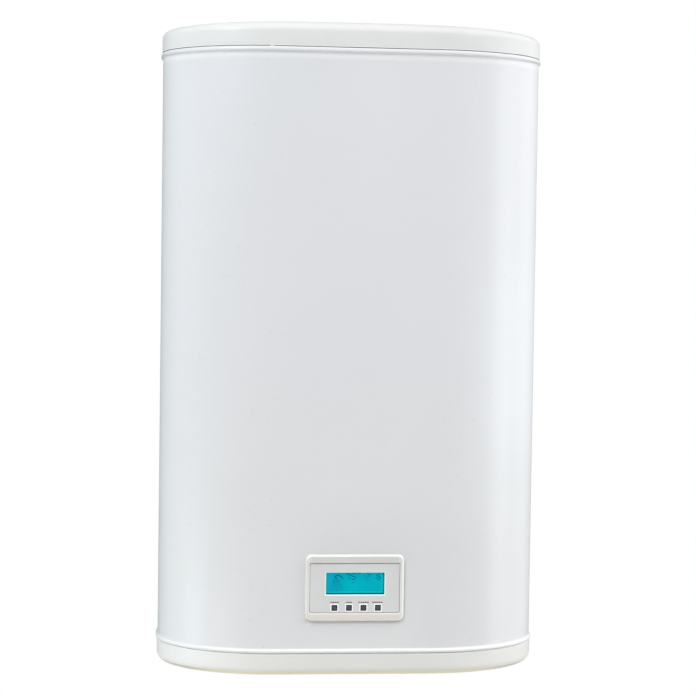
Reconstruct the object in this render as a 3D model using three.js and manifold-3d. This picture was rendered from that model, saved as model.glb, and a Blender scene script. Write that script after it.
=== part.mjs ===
// Flat wall-hung electric storage water heater, about 40 litres, with twin vertical tanks,
// a wrapped sheet-steel casing, moulded end caps and a small display panel low on the front.
// Millimetres. +X is the right-hand side seen from the front, -Y faces the room, +Z is up.
// The wall is the plane y = 0. The dimensions below are measured from the middle of the casing;
// the exported group is shifted so that its origin is the middle of the upper wall bracket's back face.
import * as THREE from "three";
import { mergeVertices } from "three/addons/utils/BufferGeometryUtils.js";
import Module from "manifold-3d";

const wasm = await Module();
wasm.setup();

// ---------------------------------------------------------------- driving dimensions
const WIDTH = 470; // over the rolled beads
const DEPTH = 252; // over the rolled beads
const CORNER_X = 143; // semi-axis of the elliptical corner along x
const CORNER_Y = 116.2; // semi-axis of the elliptical corner along y
const BACK_GAP = 11.7; // wall to the rear of the beads
const SEAM_Z = 360; // the two cap seams are at +SEAM_Z and -SEAM_Z
const TOP_RISE = 30.5; // top cap's middle above its seam
const CROWN = 4.3; // fall of the domed top from its middle to x = WIDTH / 2
const TOP_ROUND_H = 12.5; // rounding of the top cap's upper edge, upwards
const TOP_ROUND_W = 12; // and inwards
const BASE_DROP = 27; // bottom cap below its seam
const BASE_ROUND = 10.5; // rounding of the bottom cap's lower edge
const BEAD_H = 7; // height of a rolled bead
const CASING_IN = 2.3; // casing's outer face inside the bead line
const SHEET = 1.0; // casing sheet
const CAP_IN = 1.2; // cap's outer face inside the bead line
const SEAM_GAP = 0.6; // shadow gap between cap and bead
const GAP = 0.3; // clearance between touching pieces

const TANK_R = 104;
const TANK_X = 113;
const TANK_WALL = 1.5;
const TANK_LOW = -262; // cylinder ends, the domes go on from there
const TANK_HIGH = 310;
const DOME_H = 35;

const FOAM_LOW = -290;

const BRACKET_UP = 230; // centre heights of the wall brackets
const BRACKET_DOWN = -200;
const BRACKET_T = 2.5;
const BOLT_X = 76;
const NOTCH_X = 40;
const NOTCH_W = 10;

const PIPE_X = 50; // nipples are 100 mm apart
const PIPE_Y = -95;
const PIPE_END = -408;
const PIPE_RO = 10.4;
const PIPE_RI = 7.5;

const HEAD_X = 128; // heating element heads
const HEAD_Y = -150;

const PANEL_W = 118.4;
const PANEL_H = 80.1;
const PANEL_Z = -280.9;
const PANEL_OUT = 4; // how far the bezel stands off the casing
const FRAME_W = 108; // opening in the bezel
const FRAME_H = 59.4;
const FRAME_Z = -281.1;
const WINDOW_X = 0.6; // display window in the faceplate
const WINDOW_W = 70.2;
const WINDOW_H = 26.3;
const WINDOW_Z = -275.9;
const KEY = 6.9;
const KEY_Z = -304.8;
const KEY_X = [-24.2, -6.8, 10.6, 28];

// ---------------------------------------------------------------- derived places
const MID_Y = -BACK_GAP - DEPTH / 2; // tank axes
const CASING_FRONT = -BACK_GAP - DEPTH + CASING_IN; // -261.4
const CASING_BACK = -BACK_GAP - CASING_IN; // -14
const BASE_Z = -SEAM_Z - BASE_DROP; // -387
const TOP_Z = SEAM_Z + TOP_RISE; // 390.5

// ---------------------------------------------------------------- helpers
function solid(geometry) {
  const flat = geometry.index ? geometry.toNonIndexed() : geometry;
  const bare = new THREE.BufferGeometry().setAttribute("position", flat.getAttribute("position").clone());
  const merged = mergeVertices(bare, 1e-4);
  const tri = new Uint32Array(merged.index.array);
  const make = (t) =>
    new wasm.Manifold(new wasm.Mesh({ numProp: 3, vertProperties: merged.attributes.position.array, triVerts: t }));
  let made = make(tri);
  if (made.volume() < 0) {
    for (let i = 0; i < tri.length; i += 3) [tri[i + 1], tri[i + 2]] = [tri[i + 2], tri[i + 1]];
    made = make(tri);
  }
  return made;
}

function geometryOf(made) {
  const m = made.getMesh();
  const v = new Float32Array(m.numVert * 3);
  for (let i = 0; i < m.numVert; i++) v.set(m.vertProperties.subarray(i * m.numProp, i * m.numProp + 3), i * 3);
  const g = new THREE.BufferGeometry();
  g.setAttribute("position", new THREE.BufferAttribute(v, 3));
  g.setIndex(new THREE.BufferAttribute(new Uint32Array(m.triVerts), 1));
  g.computeVertexNormals();
  return g;
}

const box = (x0, x1, y0, y1, z0, z1) =>
  solid(new THREE.BoxGeometry(x1 - x0, y1 - y0, z1 - z0).translate((x0 + x1) / 2, (y0 + y1) / 2, (z0 + z1) / 2));

// cylinder with its axis along z, from z0 to z1
const rod = (x, y, r, z0, z1, n = 24, turn = 0) =>
  solid(
    new THREE.CylinderGeometry(r, r, z1 - z0, n)
      .rotateY(turn)
      .rotateX(Math.PI / 2)
      .translate(x, y, (z0 + z1) / 2),
  );

// cylinder with its axis along y
const rodY = (x, z, r, y0, y1, n = 24) =>
  solid(new THREE.CylinderGeometry(r, r, y1 - y0, n).translate(x, (y0 + y1) / 2, z));

// cylinder with its axis along x
const rodX = (y, z, r, x0, x1, n = 24) =>
  solid(new THREE.CylinderGeometry(r, r, x1 - x0, n).rotateZ(Math.PI / 2).translate((x0 + x1) / 2, y, z));

// turned piece: [radius, z] pairs, closed on itself or starting and ending on the axis
const turned = (x, y, pairs, n = 24) =>
  solid(
    new THREE.LatheGeometry(
      pairs.map(([r, z]) => new THREE.Vector2(r, z)),
      n,
    )
      .rotateX(Math.PI / 2)
      .translate(x, y, 0),
  );

// plan outline of the heater, inset by t from the bead line, in x and y; between adds points along the front and back
function outlinePoints(t, steps = 8, between = 0) {
  const ax = CORNER_X - t;
  const ay = CORNER_Y - t;
  const hx = WIDTH / 2 - CORNER_X;
  const hy = DEPTH / 2 - CORNER_Y;
  const pts = [];
  for (const [sx, sy, from] of [
    [1, 1, 0],
    [-1, 1, 1],
    [-1, -1, 2],
    [1, -1, 3],
  ]) {
    for (let i = 0; i <= steps; i++) {
      const a = ((from + i / steps) * Math.PI) / 2;
      pts.push(new THREE.Vector2(sx * hx + ax * Math.cos(a), MID_Y + sy * hy + ay * Math.sin(a)));
    }
    if (from % 2 === 0) {
      for (let i = 1; i <= between; i++)
        pts.push(new THREE.Vector2(sx * hx * (1 - (2 * i) / (between + 1)), MID_Y + sy * (hy + ay)));
    }
  }
  return pts;
}

const outlineShape = (t) => new THREE.Shape(outlinePoints(t));

// closed solid through rings of as many points each, with a fan of triangles over both ends
function lofted(rings) {
  const n = rings[0].length;
  const position = rings.flatMap((ring) => ring.flatMap((p) => [p.x, p.y, p.z]));
  const index = [];
  for (let k = 0; k + 1 < rings.length; k++)
    for (let i = 0; i < n; i++) {
      const a = k * n + i;
      const b = k * n + ((i + 1) % n);
      index.push(a, b, b + n, a, b + n, a + n);
    }
  for (const [k, turn] of [
    [0, true],
    [rings.length - 1, false],
  ]) {
    const middle = rings[k].reduce((s, p) => s.add(p), new THREE.Vector3()).divideScalar(n);
    const m = position.length / 3;
    position.push(middle.x, middle.y, middle.z);
    for (let i = 0; i < n; i++) {
      const a = k * n + i;
      const b = k * n + ((i + 1) % n);
      if (turn) index.push(m, b, a);
      else index.push(m, a, b);
    }
  }
  const g = new THREE.BufferGeometry();
  g.setAttribute("position", new THREE.Float32BufferAttribute(position, 3));
  g.setIndex(index);
  return solid(g);
}

// upright wall from z0 with a rounded upper edge and a domed top whose middle is at zTop
function domed(t, z0, zTop, high, wide, rounds = 4) {
  const fall = (x) => CROWN * (x / (WIDTH / 2)) ** 2;
  const ring = (inset, z, share) => outlinePoints(inset, 8, 3).map((p) => new THREE.Vector3(p.x, p.y, z - share * fall(p.x)));
  const rings = [ring(t, z0, 0), ring(t, zTop - high, 0)];
  for (let i = 1; i <= rounds; i++) {
    const a = ((i / rounds) * Math.PI) / 2;
    rings.push(ring(t + wide * (1 - Math.cos(a)), zTop - high + high * Math.sin(a), Math.sin(a)));
  }
  const edge = outlinePoints(t + wide, 8, 3);
  for (const s of [0.8, 0.55, 0.3])
    rings.push(edge.map((p) => new THREE.Vector3(p.x * s, MID_Y + (p.y - MID_Y) * s, zTop - fall(p.x * s))));
  return lofted(rings);
}

function slab(shape, z0, z1, bevel = null) {
  const options = bevel
    ? {
        depth: z1 - z0 - 2 * bevel.high,
        bevelEnabled: true,
        bevelSize: bevel.out,
        bevelThickness: bevel.high,
        bevelSegments: bevel.steps ?? 3,
        steps: 1,
        curveSegments: 6,
      }
    : { depth: z1 - z0, bevelEnabled: false, steps: 1, curveSegments: 6 };
  return solid(new THREE.ExtrudeGeometry(shape, options).translate(0, 0, z0 + (bevel ? bevel.high : 0)));
}

const plan = (t, z0, z1, bevel = null) => slab(outlineShape(bevel ? t + bevel.out : t), z0, z1, bevel);

function roundRect(cx, cy, w, h, r) {
  const x0 = cx - w / 2;
  const y0 = cy - h / 2;
  const x1 = cx + w / 2;
  const y1 = cy + h / 2;
  const s = new THREE.Shape();
  s.moveTo(x0 + r, y0);
  s.lineTo(x1 - r, y0);
  s.absarc(x1 - r, y0 + r, r, -Math.PI / 2, 0, false);
  s.lineTo(x1, y1 - r);
  s.absarc(x1 - r, y1 - r, r, 0, Math.PI / 2, false);
  s.lineTo(x0 + r, y1);
  s.absarc(x0 + r, y1 - r, r, Math.PI / 2, Math.PI, false);
  s.lineTo(x0, y0 + r);
  s.absarc(x0 + r, y0 + r, r, Math.PI, Math.PI * 1.5, false);
  return s;
}

// plate with a rounded outline in x and z, thick along y from y0 (front) to y1
function facePlate(cx, cz, w, h, r, y0, y1, bevelFront = 0) {
  const g = new THREE.ExtrudeGeometry(
    roundRect(cx, cz, w - 2 * bevelFront, h - 2 * bevelFront, Math.max(0.4, r - bevelFront)),
    bevelFront
      ? { depth: y1 - y0 - bevelFront, bevelEnabled: true, bevelSize: bevelFront, bevelThickness: bevelFront, bevelSegments: 3, curveSegments: 5 }
      : { depth: y1 - y0, bevelEnabled: false, curveSegments: 5 },
  );
  // the extrusion runs along +z: turn it so that its far end, with the bevel, faces -y
  g.rotateX(Math.PI / 2);
  g.translate(0, y1, 0);
  let made = solid(g);
  if (bevelFront) made = made.subtract(box(cx - w, cx + w, y1, y1 + bevelFront + 5, cz - h, cz + h));
  return made;
}

// tube or bar of a section swept along a curve
function swept(shape, points, steps, tension = 0.5, closed = false) {
  const path = new THREE.CatmullRomCurve3(
    points.map((p) => new THREE.Vector3(...p)),
    closed,
    "centripetal",
    tension,
  );
  return solid(new THREE.ExtrudeGeometry(shape, { steps, bevelEnabled: false, extrudePath: path }));
}

function circleShape(r, n) {
  const s = new THREE.Shape();
  for (let i = 0; i < n; i++) {
    const a = (i / n) * Math.PI * 2;
    if (i) s.lineTo(r * Math.cos(a), r * Math.sin(a));
    else s.moveTo(r, 0);
  }
  s.closePath();
  return s;
}

const sum = (first, ...rest) => rest.reduce((a, b) => a.add(b), first);
const minus = (first, ...rest) => rest.reduce((a, b) => a.subtract(b), first);

// ---------------------------------------------------------------- materials
const mat = (color, roughness, metalness = 0) => new THREE.MeshStandardMaterial({ color, roughness, metalness });
const M = {
  paint: mat(0xe9ebee, 0.32),
  cap: mat(0xebecea, 0.35),
  panel: mat(0xdddcd8, 0.42),
  key: mat(0x3a3f3e, 0.6),
  lcd: mat(0x0db0c6, 0.2),
  light: mat(0xf2f4f4, 0.5),
  board: mat(0x1d5c3a, 0.5),
  steel: mat(0xb7babd, 0.35, 0.9),
  stainless: mat(0xc7c9cb, 0.3, 1),
  bracket: mat(0xd9dbdc, 0.45, 0.3),
  brass: mat(0xb5954a, 0.35, 1),
  copper: mat(0xb07048, 0.35, 1),
  rubber: mat(0x1c1c1c, 0.8),
  blue: mat(0x1f63b8, 0.4),
  red: mat(0xc1272d, 0.4),
  foam: mat(0xe6d9a8, 0.9),
  anode: mat(0x8f9294, 0.6, 0.7),
  dark: mat(0x2a2c2f, 0.5),
  relay: mat(0x1f5fa8, 0.4),
  nylon: mat(0xf0efe9, 0.5),
  ribbon: mat(0xa9adb2, 0.5),
};

const model = new THREE.Group();
const held = new THREE.Group(); // everything is placed from the middle of the casing
held.position.set(0, 0, -BRACKET_UP);
model.add(held);

function piece(name, made, material) {
  const mesh = new THREE.Mesh(geometryOf(made), material);
  mesh.name = name;
  held.add(mesh);
  return mesh;
}

// ---------------------------------------------------------------- casing and caps
const bead = (z0) => plan(0, z0, z0 + BEAD_H, { out: CASING_IN, high: 3, steps: 2 });
{
  const outer = sum(
    plan(CASING_IN, -SEAM_Z, SEAM_Z),
    bead(SEAM_Z - BEAD_H),
    bead(-SEAM_Z),
    // the jacket's folded seam down the back
    box(-30, -20, CASING_BACK - 0.8, CASING_BACK + 0.9, -SEAM_Z + 12, SEAM_Z - 12),
  );
  const inner = plan(CASING_IN + SHEET, -SEAM_Z - 5, SEAM_Z + 5);
  piece(
    "outer_casing",
    minus(
      outer,
      inner,
      box(-54.6, 54.6, CASING_FRONT - 5, CASING_FRONT + 5, -316.9, -244.7),
      rodY(BOLT_X, BRACKET_UP, 4.3, CASING_BACK - 5, CASING_BACK + 5, 16),
      rodY(-BOLT_X, BRACKET_UP, 4.3, CASING_BACK - 5, CASING_BACK + 5, 16),
      rodY(BOLT_X, BRACKET_DOWN, 4.3, CASING_BACK - 5, CASING_BACK + 5, 16),
      rodY(-BOLT_X, BRACKET_DOWN, 4.3, CASING_BACK - 5, CASING_BACK + 5, 16),
      rodY(0, 60, 10, CASING_BACK - 5, CASING_BACK + 5, 20),
    ),
    M.paint,
  );
}

const SKIRT_OUT = CASING_IN + SHEET + GAP; // 3.6
const SKIRT_IN = SKIRT_OUT + 2.4;
{
  // top cap: a shallow, slightly domed lid with a rounded upper edge and a skirt tucked into the casing
  const lower = SEAM_Z + SEAM_GAP;
  const shell = minus(
    domed(CAP_IN, lower, TOP_Z, TOP_ROUND_H, TOP_ROUND_W),
    domed(SKIRT_IN, lower - 5, TOP_Z - 2.6, TOP_ROUND_H - 2, TOP_ROUND_W - 2),
  );
  const skirt = minus(plan(SKIRT_OUT, SEAM_Z - 14, lower + 4), plan(SKIRT_IN, SEAM_Z - 20, lower + 9));
  piece("top_cap", shell.add(skirt), M.cap);
}

const OPEN_W = 336;
const OPEN_D = 108;
const OPEN_Y = -172;
const SCREW_AT = [
  ["front_left", -161.5, OPEN_Y - 47.5],
  ["front_right", 161.5, OPEN_Y - 47.5],
  ["rear_left", -161.5, OPEN_Y + 47.5],
  ["rear_right", 161.5, OPEN_Y + 47.5],
];
const GLAND_X = -150;
const GLAND_Y = -80;
{
  // bottom cap: the same kind of lid upside down, with a service opening and holes for pipes and gland
  const upper = -SEAM_Z - SEAM_GAP;
  const shell = minus(
    minus(
      plan(CAP_IN, BASE_Z, upper + 12, { out: BASE_ROUND, high: BASE_ROUND, steps: 4 }),
      box(-300, 300, -300, 20, upper, upper + 20),
    ),
    plan(SKIRT_IN, BASE_Z + 3, upper + 6, { out: 4, high: 4, steps: 1 }),
  );
  const skirt = minus(plan(SKIRT_OUT, upper - 4, -SEAM_Z + 14), plan(SKIRT_IN, upper - 9, -SEAM_Z + 20));
  const opening = slab(roundRect(0, OPEN_Y, OPEN_W, OPEN_D, 12), BASE_Z - 5, BASE_Z + 3.1);
  let ledge = minus(
    slab(roundRect(0, OPEN_Y, OPEN_W + 12, OPEN_D + 12, 18), BASE_Z + 2.7, BASE_Z + 5.5),
    slab(roundRect(0, OPEN_Y, OPEN_W - 12, OPEN_D - 12, 8), BASE_Z, BASE_Z + 9),
  );
  for (const [, x, y] of SCREW_AT) ledge = ledge.add(rod(x, y, 5, BASE_Z + 2.7, BASE_Z + 14, 14));
  let cap = minus(shell.add(skirt), opening).add(ledge);
  for (const [, x, y] of SCREW_AT) cap = cap.subtract(rod(x, y, 1.7, BASE_Z, BASE_Z + 16, 10));
  cap = minus(
    cap,
    rod(PIPE_X, PIPE_Y, 15, BASE_Z - 5, BASE_Z + 10, 28),
    rod(-PIPE_X, PIPE_Y, 15, BASE_Z - 5, BASE_Z + 10, 28),
    rod(GLAND_X, GLAND_Y, 8.3, BASE_Z - 5, BASE_Z + 10, 20),
  );
  piece("bottom_cap", cap, M.cap);

  let cover = slab(roundRect(0, OPEN_Y, OPEN_W - 1, OPEN_D - 1, 11.5), BASE_Z, BASE_Z + 2.4);
  for (const [, x, y] of SCREW_AT) cover = cover.subtract(rod(x, y, 2, BASE_Z - 1, BASE_Z + 4, 10));
  piece("service_cover", cover, M.cap);

  for (const [where, x, y] of SCREW_AT) {
    piece(
      "cover_screw_" + where,
      turned(
        x,
        y,
        [
          [0, BASE_Z - 2.2],
          [2.4, BASE_Z - 2.1],
          [3.5, BASE_Z - 1.3],
          [3.6, BASE_Z - GAP],
          [1.4, BASE_Z - GAP],
          [1.4, BASE_Z + 11],
          [0, BASE_Z + 12],
        ],
        12,
      ),
      M.steel,
    );
  }
}

// ---------------------------------------------------------------- wall brackets
function hatBracket(z, notched) {
  const h = 22;
  const back = CASING_BACK + GAP;
  let made = sum(
    box(-62, 62, -BRACKET_T, 0, z - h, z + h),
    box(-62, -62 + BRACKET_T, back, 0, z - h, z + h),
    box(62 - BRACKET_T, 62, back, 0, z - h, z + h),
    box(-88, -62 + BRACKET_T, back, back + BRACKET_T, z - h, z + h),
    box(62 - BRACKET_T, 88, back, back + BRACKET_T, z - h, z + h),
  );
  if (notched) {
    for (const s of [-1, 1]) {
      made = minus(
        made,
        box(s * NOTCH_X - NOTCH_W / 2, s * NOTCH_X + NOTCH_W / 2, -BRACKET_T - 1, 1, z - h - 1, z + 2),
        rodY(s * NOTCH_X, z + 2, NOTCH_W / 2, -BRACKET_T - 1, 1, 16),
      );
    }
  }
  return minus(
    made,
    rodY(BOLT_X, z, 4.3, back - 2, back + 6, 16),
    rodY(-BOLT_X, z, 4.3, back - 2, back + 6, 16),
  );
}
piece("upper_wall_bracket", hatBracket(BRACKET_UP, true), M.bracket);
piece("lower_wall_bracket", hatBracket(BRACKET_DOWN, false), M.bracket);

const SADDLE_FRONT = MID_Y + TANK_R + GAP; // just behind the tanks' rearmost line
for (const [level, z] of [
  ["upper", BRACKET_UP],
  ["lower", BRACKET_DOWN],
]) {
  const headY = CASING_BACK + GAP + BRACKET_T + GAP;
  for (const [side, s] of [
    ["left", -1],
    ["right", 1],
  ]) {
    const head = solid(
      new THREE.CylinderGeometry(7.5, 7.5, 5.3, 6).translate(s * BOLT_X, headY + 5.3 / 2, z),
    );
    piece(
      "bracket_bolt_" + level + "_" + side,
      sum(head, rodY(s * BOLT_X, z, 3.8, SADDLE_FRONT - 4, headY + 0.5, 14)),
      M.steel,
    );
  }
  let saddle = box(-128, 128, SADDLE_FRONT, SADDLE_FRONT + 3, z - 20, z + 20);
  for (const s of [-1, 1]) {
    saddle = saddle.add(rodY(s * BOLT_X, z, 8, SADDLE_FRONT + 2, SADDLE_FRONT + 8, 16));
    saddle = saddle.subtract(rodY(s * BOLT_X, z, 4.15, SADDLE_FRONT - 8, SADDLE_FRONT + 12, 14));
  }
  piece(level + "_tank_saddle", saddle, M.steel);
}

// foam injection hole plug on the back
piece(
  "foam_fill_plug",
  sum(rodY(0, 60, 13.5, CASING_BACK + GAP, CASING_BACK + GAP + 1.6, 24), rodY(0, 60, 9.6, CASING_BACK - 8, CASING_BACK + GAP + 1, 20)),
  M.nylon,
);

// ---------------------------------------------------------------- tanks
function domeProfile(r, dome, low, high, steps = 3) {
  const pairs = [];
  for (let i = 0; i <= steps; i++) {
    const a = ((1 - i / steps) * Math.PI) / 2;
    pairs.push([r * Math.cos(a), low - dome * Math.sin(a)]);
  }
  for (let i = 0; i <= steps; i++) {
    const a = ((i / steps) * Math.PI) / 2;
    pairs.push([r * Math.cos(a), high + dome * Math.sin(a)]);
  }
  pairs[0][0] = 0;
  pairs[pairs.length - 1][0] = 0;
  return pairs;
}
const BOSS_R = 26;
const BOSS_HOLE = 21.4;
const ANODE_X = 158;
const ANODE_Y = -83;
function tank(s) {
  const x = s * TANK_X;
  const outer = turned(x, MID_Y, domeProfile(TANK_R, DOME_H, TANK_LOW, TANK_HIGH), 28);
  const inner = turned(
    x,
    MID_Y,
    domeProfile(TANK_R - TANK_WALL, DOME_H - TANK_WALL, TANK_LOW, TANK_HIGH),
    28,
  );
  let made = outer.add(rod(s * HEAD_X, HEAD_Y, BOSS_R, -308, -288, 20));
  if (s > 0) made = made.add(rod(ANODE_X, ANODE_Y, 13, -296, -280, 18));
  made = minus(
    made,
    inner,
    rod(s * HEAD_X, HEAD_Y, BOSS_HOLE, -315, -270, 20),
    rod(s * PIPE_X, PIPE_Y, PIPE_RO + GAP, -300, -262, 22),
    rodX(MID_Y, 285, 12.3, s > 0 ? 2 : -30, s > 0 ? 30 : -2, 20),
    rodX(MID_Y, -235, 12.3, s > 0 ? 2 : -30, s > 0 ? 30 : -2, 20),
  );
  if (s > 0) made = made.subtract(rod(ANODE_X, ANODE_Y, 8.9, -300, -262, 16));
  return made;
}
piece("left_tank", tank(-1), M.stainless);
piece("right_tank", tank(1), M.stainless);
for (const [name, z] of [
  ["upper_crossover_pipe", 285],
  ["lower_crossover_pipe", -235],
])
  piece(name, minus(rodX(MID_Y, z, 12, -17, 17, 20), rodX(MID_Y, z, 10.5, -20, 20, 20)), M.stainless);

// ---------------------------------------------------------------- water connections
function nipple(x) {
  return turned(
    x,
    PIPE_Y,
    [
      [PIPE_RI, PIPE_END],
      [PIPE_RO - 0.8, PIPE_END],
      [PIPE_RO, PIPE_END + 1],
      [PIPE_RO, -276],
      [PIPE_RI, -276],
      [PIPE_RI, PIPE_END],
    ],
    22,
  );
}
piece("cold_inlet_nipple", nipple(PIPE_X), M.steel);
piece("hot_outlet_nipple", nipple(-PIPE_X), M.steel);
const ringOf = (x) =>
  turned(
    x,
    PIPE_Y,
    [
      [10.9, BASE_Z - 2.4],
      [16.6, BASE_Z - 2.4],
      [17.6, BASE_Z - 1.5],
      [17.6, BASE_Z - GAP],
      [14.6, BASE_Z - GAP],
      [14.6, BASE_Z + 6],
      [10.9, BASE_Z + 6],
      [10.9, BASE_Z - 2.4],
    ],
    24,
  );
piece("cold_inlet_ring", ringOf(PIPE_X), M.blue);
piece("hot_outlet_ring", ringOf(-PIPE_X), M.red);
{
  // slotted cap that spreads the incoming cold water sideways
  let d = minus(rod(PIPE_X, PIPE_Y, 13.5, -275.7, -258, 20), rod(PIPE_X, PIPE_Y, 11.5, -280, -260, 20));
  d = minus(
    d,
    box(PIPE_X - 20, PIPE_X + 20, PIPE_Y - 3, PIPE_Y + 3, -271, -264),
    box(PIPE_X - 3, PIPE_X + 3, PIPE_Y - 20, PIPE_Y + 20, -271, -264),
  );
  piece("cold_diffuser", d, M.nylon);
}
piece(
  "hot_draw_pipe",
  minus(rod(-PIPE_X, PIPE_Y, 8, -275.7, 312, 16), rod(-PIPE_X, PIPE_Y, 6.6, -280, 320, 16)),
  M.stainless,
);

// ---------------------------------------------------------------- mains cable gland
{
  const body = sum(
    rod(GLAND_X, GLAND_Y, 11.5, BASE_Z - 5.3, BASE_Z - GAP, 6),
    rod(GLAND_X, GLAND_Y, 7.9, BASE_Z - 0.5, BASE_Z + 13, 20),
    rod(GLAND_X, GLAND_Y, 7.2, BASE_Z - 14, BASE_Z - 5, 20),
  );
  piece("cable_gland", minus(body, rod(GLAND_X, GLAND_Y, 4, BASE_Z - 20, BASE_Z + 20, 16)), M.nylon);
  piece(
    "gland_nut",
    turned(
      GLAND_X,
      GLAND_Y,
      [
        [4, BASE_Z - 21],
        [7, BASE_Z - 21],
        [9.2, BASE_Z - 18.5],
        [10.6, BASE_Z - 14],
        [10.6, BASE_Z - 5.6],
        [7.5, BASE_Z - 5.6],
        [7.5, BASE_Z - 14.3],
        [4, BASE_Z - 17],
        [4, BASE_Z - 21],
      ],
      18,
    ),
    M.nylon,
  );
}

// ---------------------------------------------------------------- heating elements
for (const [side, s] of [
  ["left", -1],
  ["right", 1],
]) {
  const x = s * HEAD_X;
  piece(
    side + "_heater_gasket",
    minus(rod(x, HEAD_Y, 26, -310.3, -308.3, 20), rod(x, HEAD_Y, 21.6, -312, -307, 20)),
    M.rubber,
  );
  let head = sum(rod(x, HEAD_Y, 29, -322, -310.6, 6), rod(x, HEAD_Y, 21, -311.5, -291, 20));
  head = minus(head, rod(x - 11, HEAD_Y, 4.6, -330, -280, 12), rod(x + 11, HEAD_Y, 4.6, -330, -280, 12));
  if (s < 0) head = head.subtract(rod(x, HEAD_Y + 12, 5.4, -330, -280, 12));
  piece(side + "_heater_head", head, M.brass);
  const pts = [];
  const low = -334;
  const high = 20;
  pts.push([x - 11, HEAD_Y, low]);
  pts.push([x - 11, HEAD_Y, low / 2]);
  pts.push([x - 11, HEAD_Y, high]);
  for (let i = 1; i < 6; i++) {
    const a = Math.PI - (i / 6) * Math.PI;
    pts.push([x + 11 * Math.cos(a), HEAD_Y, high + 11 * Math.sin(a)]);
  }
  pts.push([x + 11, HEAD_Y, high]);
  pts.push([x + 11, HEAD_Y, low / 2]);
  pts.push([x + 11, HEAD_Y, low]);
  const path = new THREE.CurvePath();
  for (let i = 1; i < pts.length; i++)
    path.add(new THREE.LineCurve3(new THREE.Vector3(...pts[i - 1]), new THREE.Vector3(...pts[i])));
  // straight legs are two cylinders and the bend is swept, so no leg wanders
  const bend = new THREE.CatmullRomCurve3(pts.slice(2, 9).map((p) => new THREE.Vector3(...p)));
  const u = sum(
    solid(new THREE.ExtrudeGeometry(circleShape(4.25, 8), { steps: 8, bevelEnabled: false, extrudePath: bend })),
    rod(x - 11, HEAD_Y, 4.25, low, high + 0.6, 8, Math.PI / 8),
    rod(x + 11, HEAD_Y, 4.25, low, high + 0.6, 8, Math.PI / 8),
  );
  piece(side + "_heating_element", u, M.copper);
}

// sensor pocket in the left head, open at the bottom
piece(
  "thermowell",
  minus(rod(-HEAD_X, HEAD_Y + 12, 5, -327, -60, 12), rod(-HEAD_X, HEAD_Y + 12, 4, -330, -62, 12)),
  M.copper,
);
piece("temperature_sensor", rod(-HEAD_X, HEAD_Y + 12, 3.3, -334, -70, 10), M.dark);

// ---------------------------------------------------------------- sacrificial anode
piece(
  "anode_plug",
  sum(
    rod(ANODE_X, ANODE_Y, 12.7, -304, -296.4, 6),
    rod(ANODE_X, ANODE_Y, 8.5, -297, -281, 16),
    rod(ANODE_X, ANODE_Y, 3, -281.5, -268, 10),
  ),
  M.brass,
);
piece(
  "anode_rod",
  minus(rod(ANODE_X, ANODE_Y, 10.5, -276, 10, 16), rod(ANODE_X, ANODE_Y, 3.4, -280, -266, 10)),
  M.anode,
);

// ---------------------------------------------------------------- electrics in the lower compartment
{
  let b = sum(
    box(-92, 92, -222, -118, -321.5, -320),
    box(-92, -90.5, -150, -126, -321, -295.6),
    box(90.5, 92, -150, -126, -321, -295.6),
  );
  for (const [x, y] of [
    [-80, -211],
    [20, -211],
    [-80, -129],
    [20, -129],
  ])
    b = b.add(rod(x, y, 3, -329.7, -321, 8));
  piece("board_bracket", b, M.steel);
}
piece("power_board", box(-86, 26, -216, -124, -331.6, -330).add(box(-12, 2, -213.2, -210, -336, -331.5)), M.board);
piece("terminal_block", (() => {
  let t = box(-84, -30, -142, -126, -346, -331.9);
  for (let i = 0; i < 4; i++) t = t.subtract(rod(-77.25 + i * 13.5, -134, 3, -350, -340, 10));
  return t;
})(), M.nylon);
piece("transformer", sum(box(-82, -46, -206, -172, -351, -331.9), box(-76, -52, -212, -166, -348, -335)), M.dark);
piece("relay_left", box(-36, -18, -208, -186, -347, -331.9), M.relay);
piece("relay_right", box(-10, 8, -208, -186, -347, -331.9), M.relay);
piece(
  "cutout_body",
  minus(box(38, 82, -190, -150, -350, -321.8), rod(60, -170, 4.3, -355, -343, 16)),
  M.dark,
);
piece(
  "cutout_reset_button",
  turned(
    60,
    -170,
    [
      [0, -354.5],
      [2.4, -354.1],
      [3.8, -353],
      [4, -352],
      [4, -345],
      [0, -345],
    ],
    16,
  ),
  M.red,
);

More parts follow.
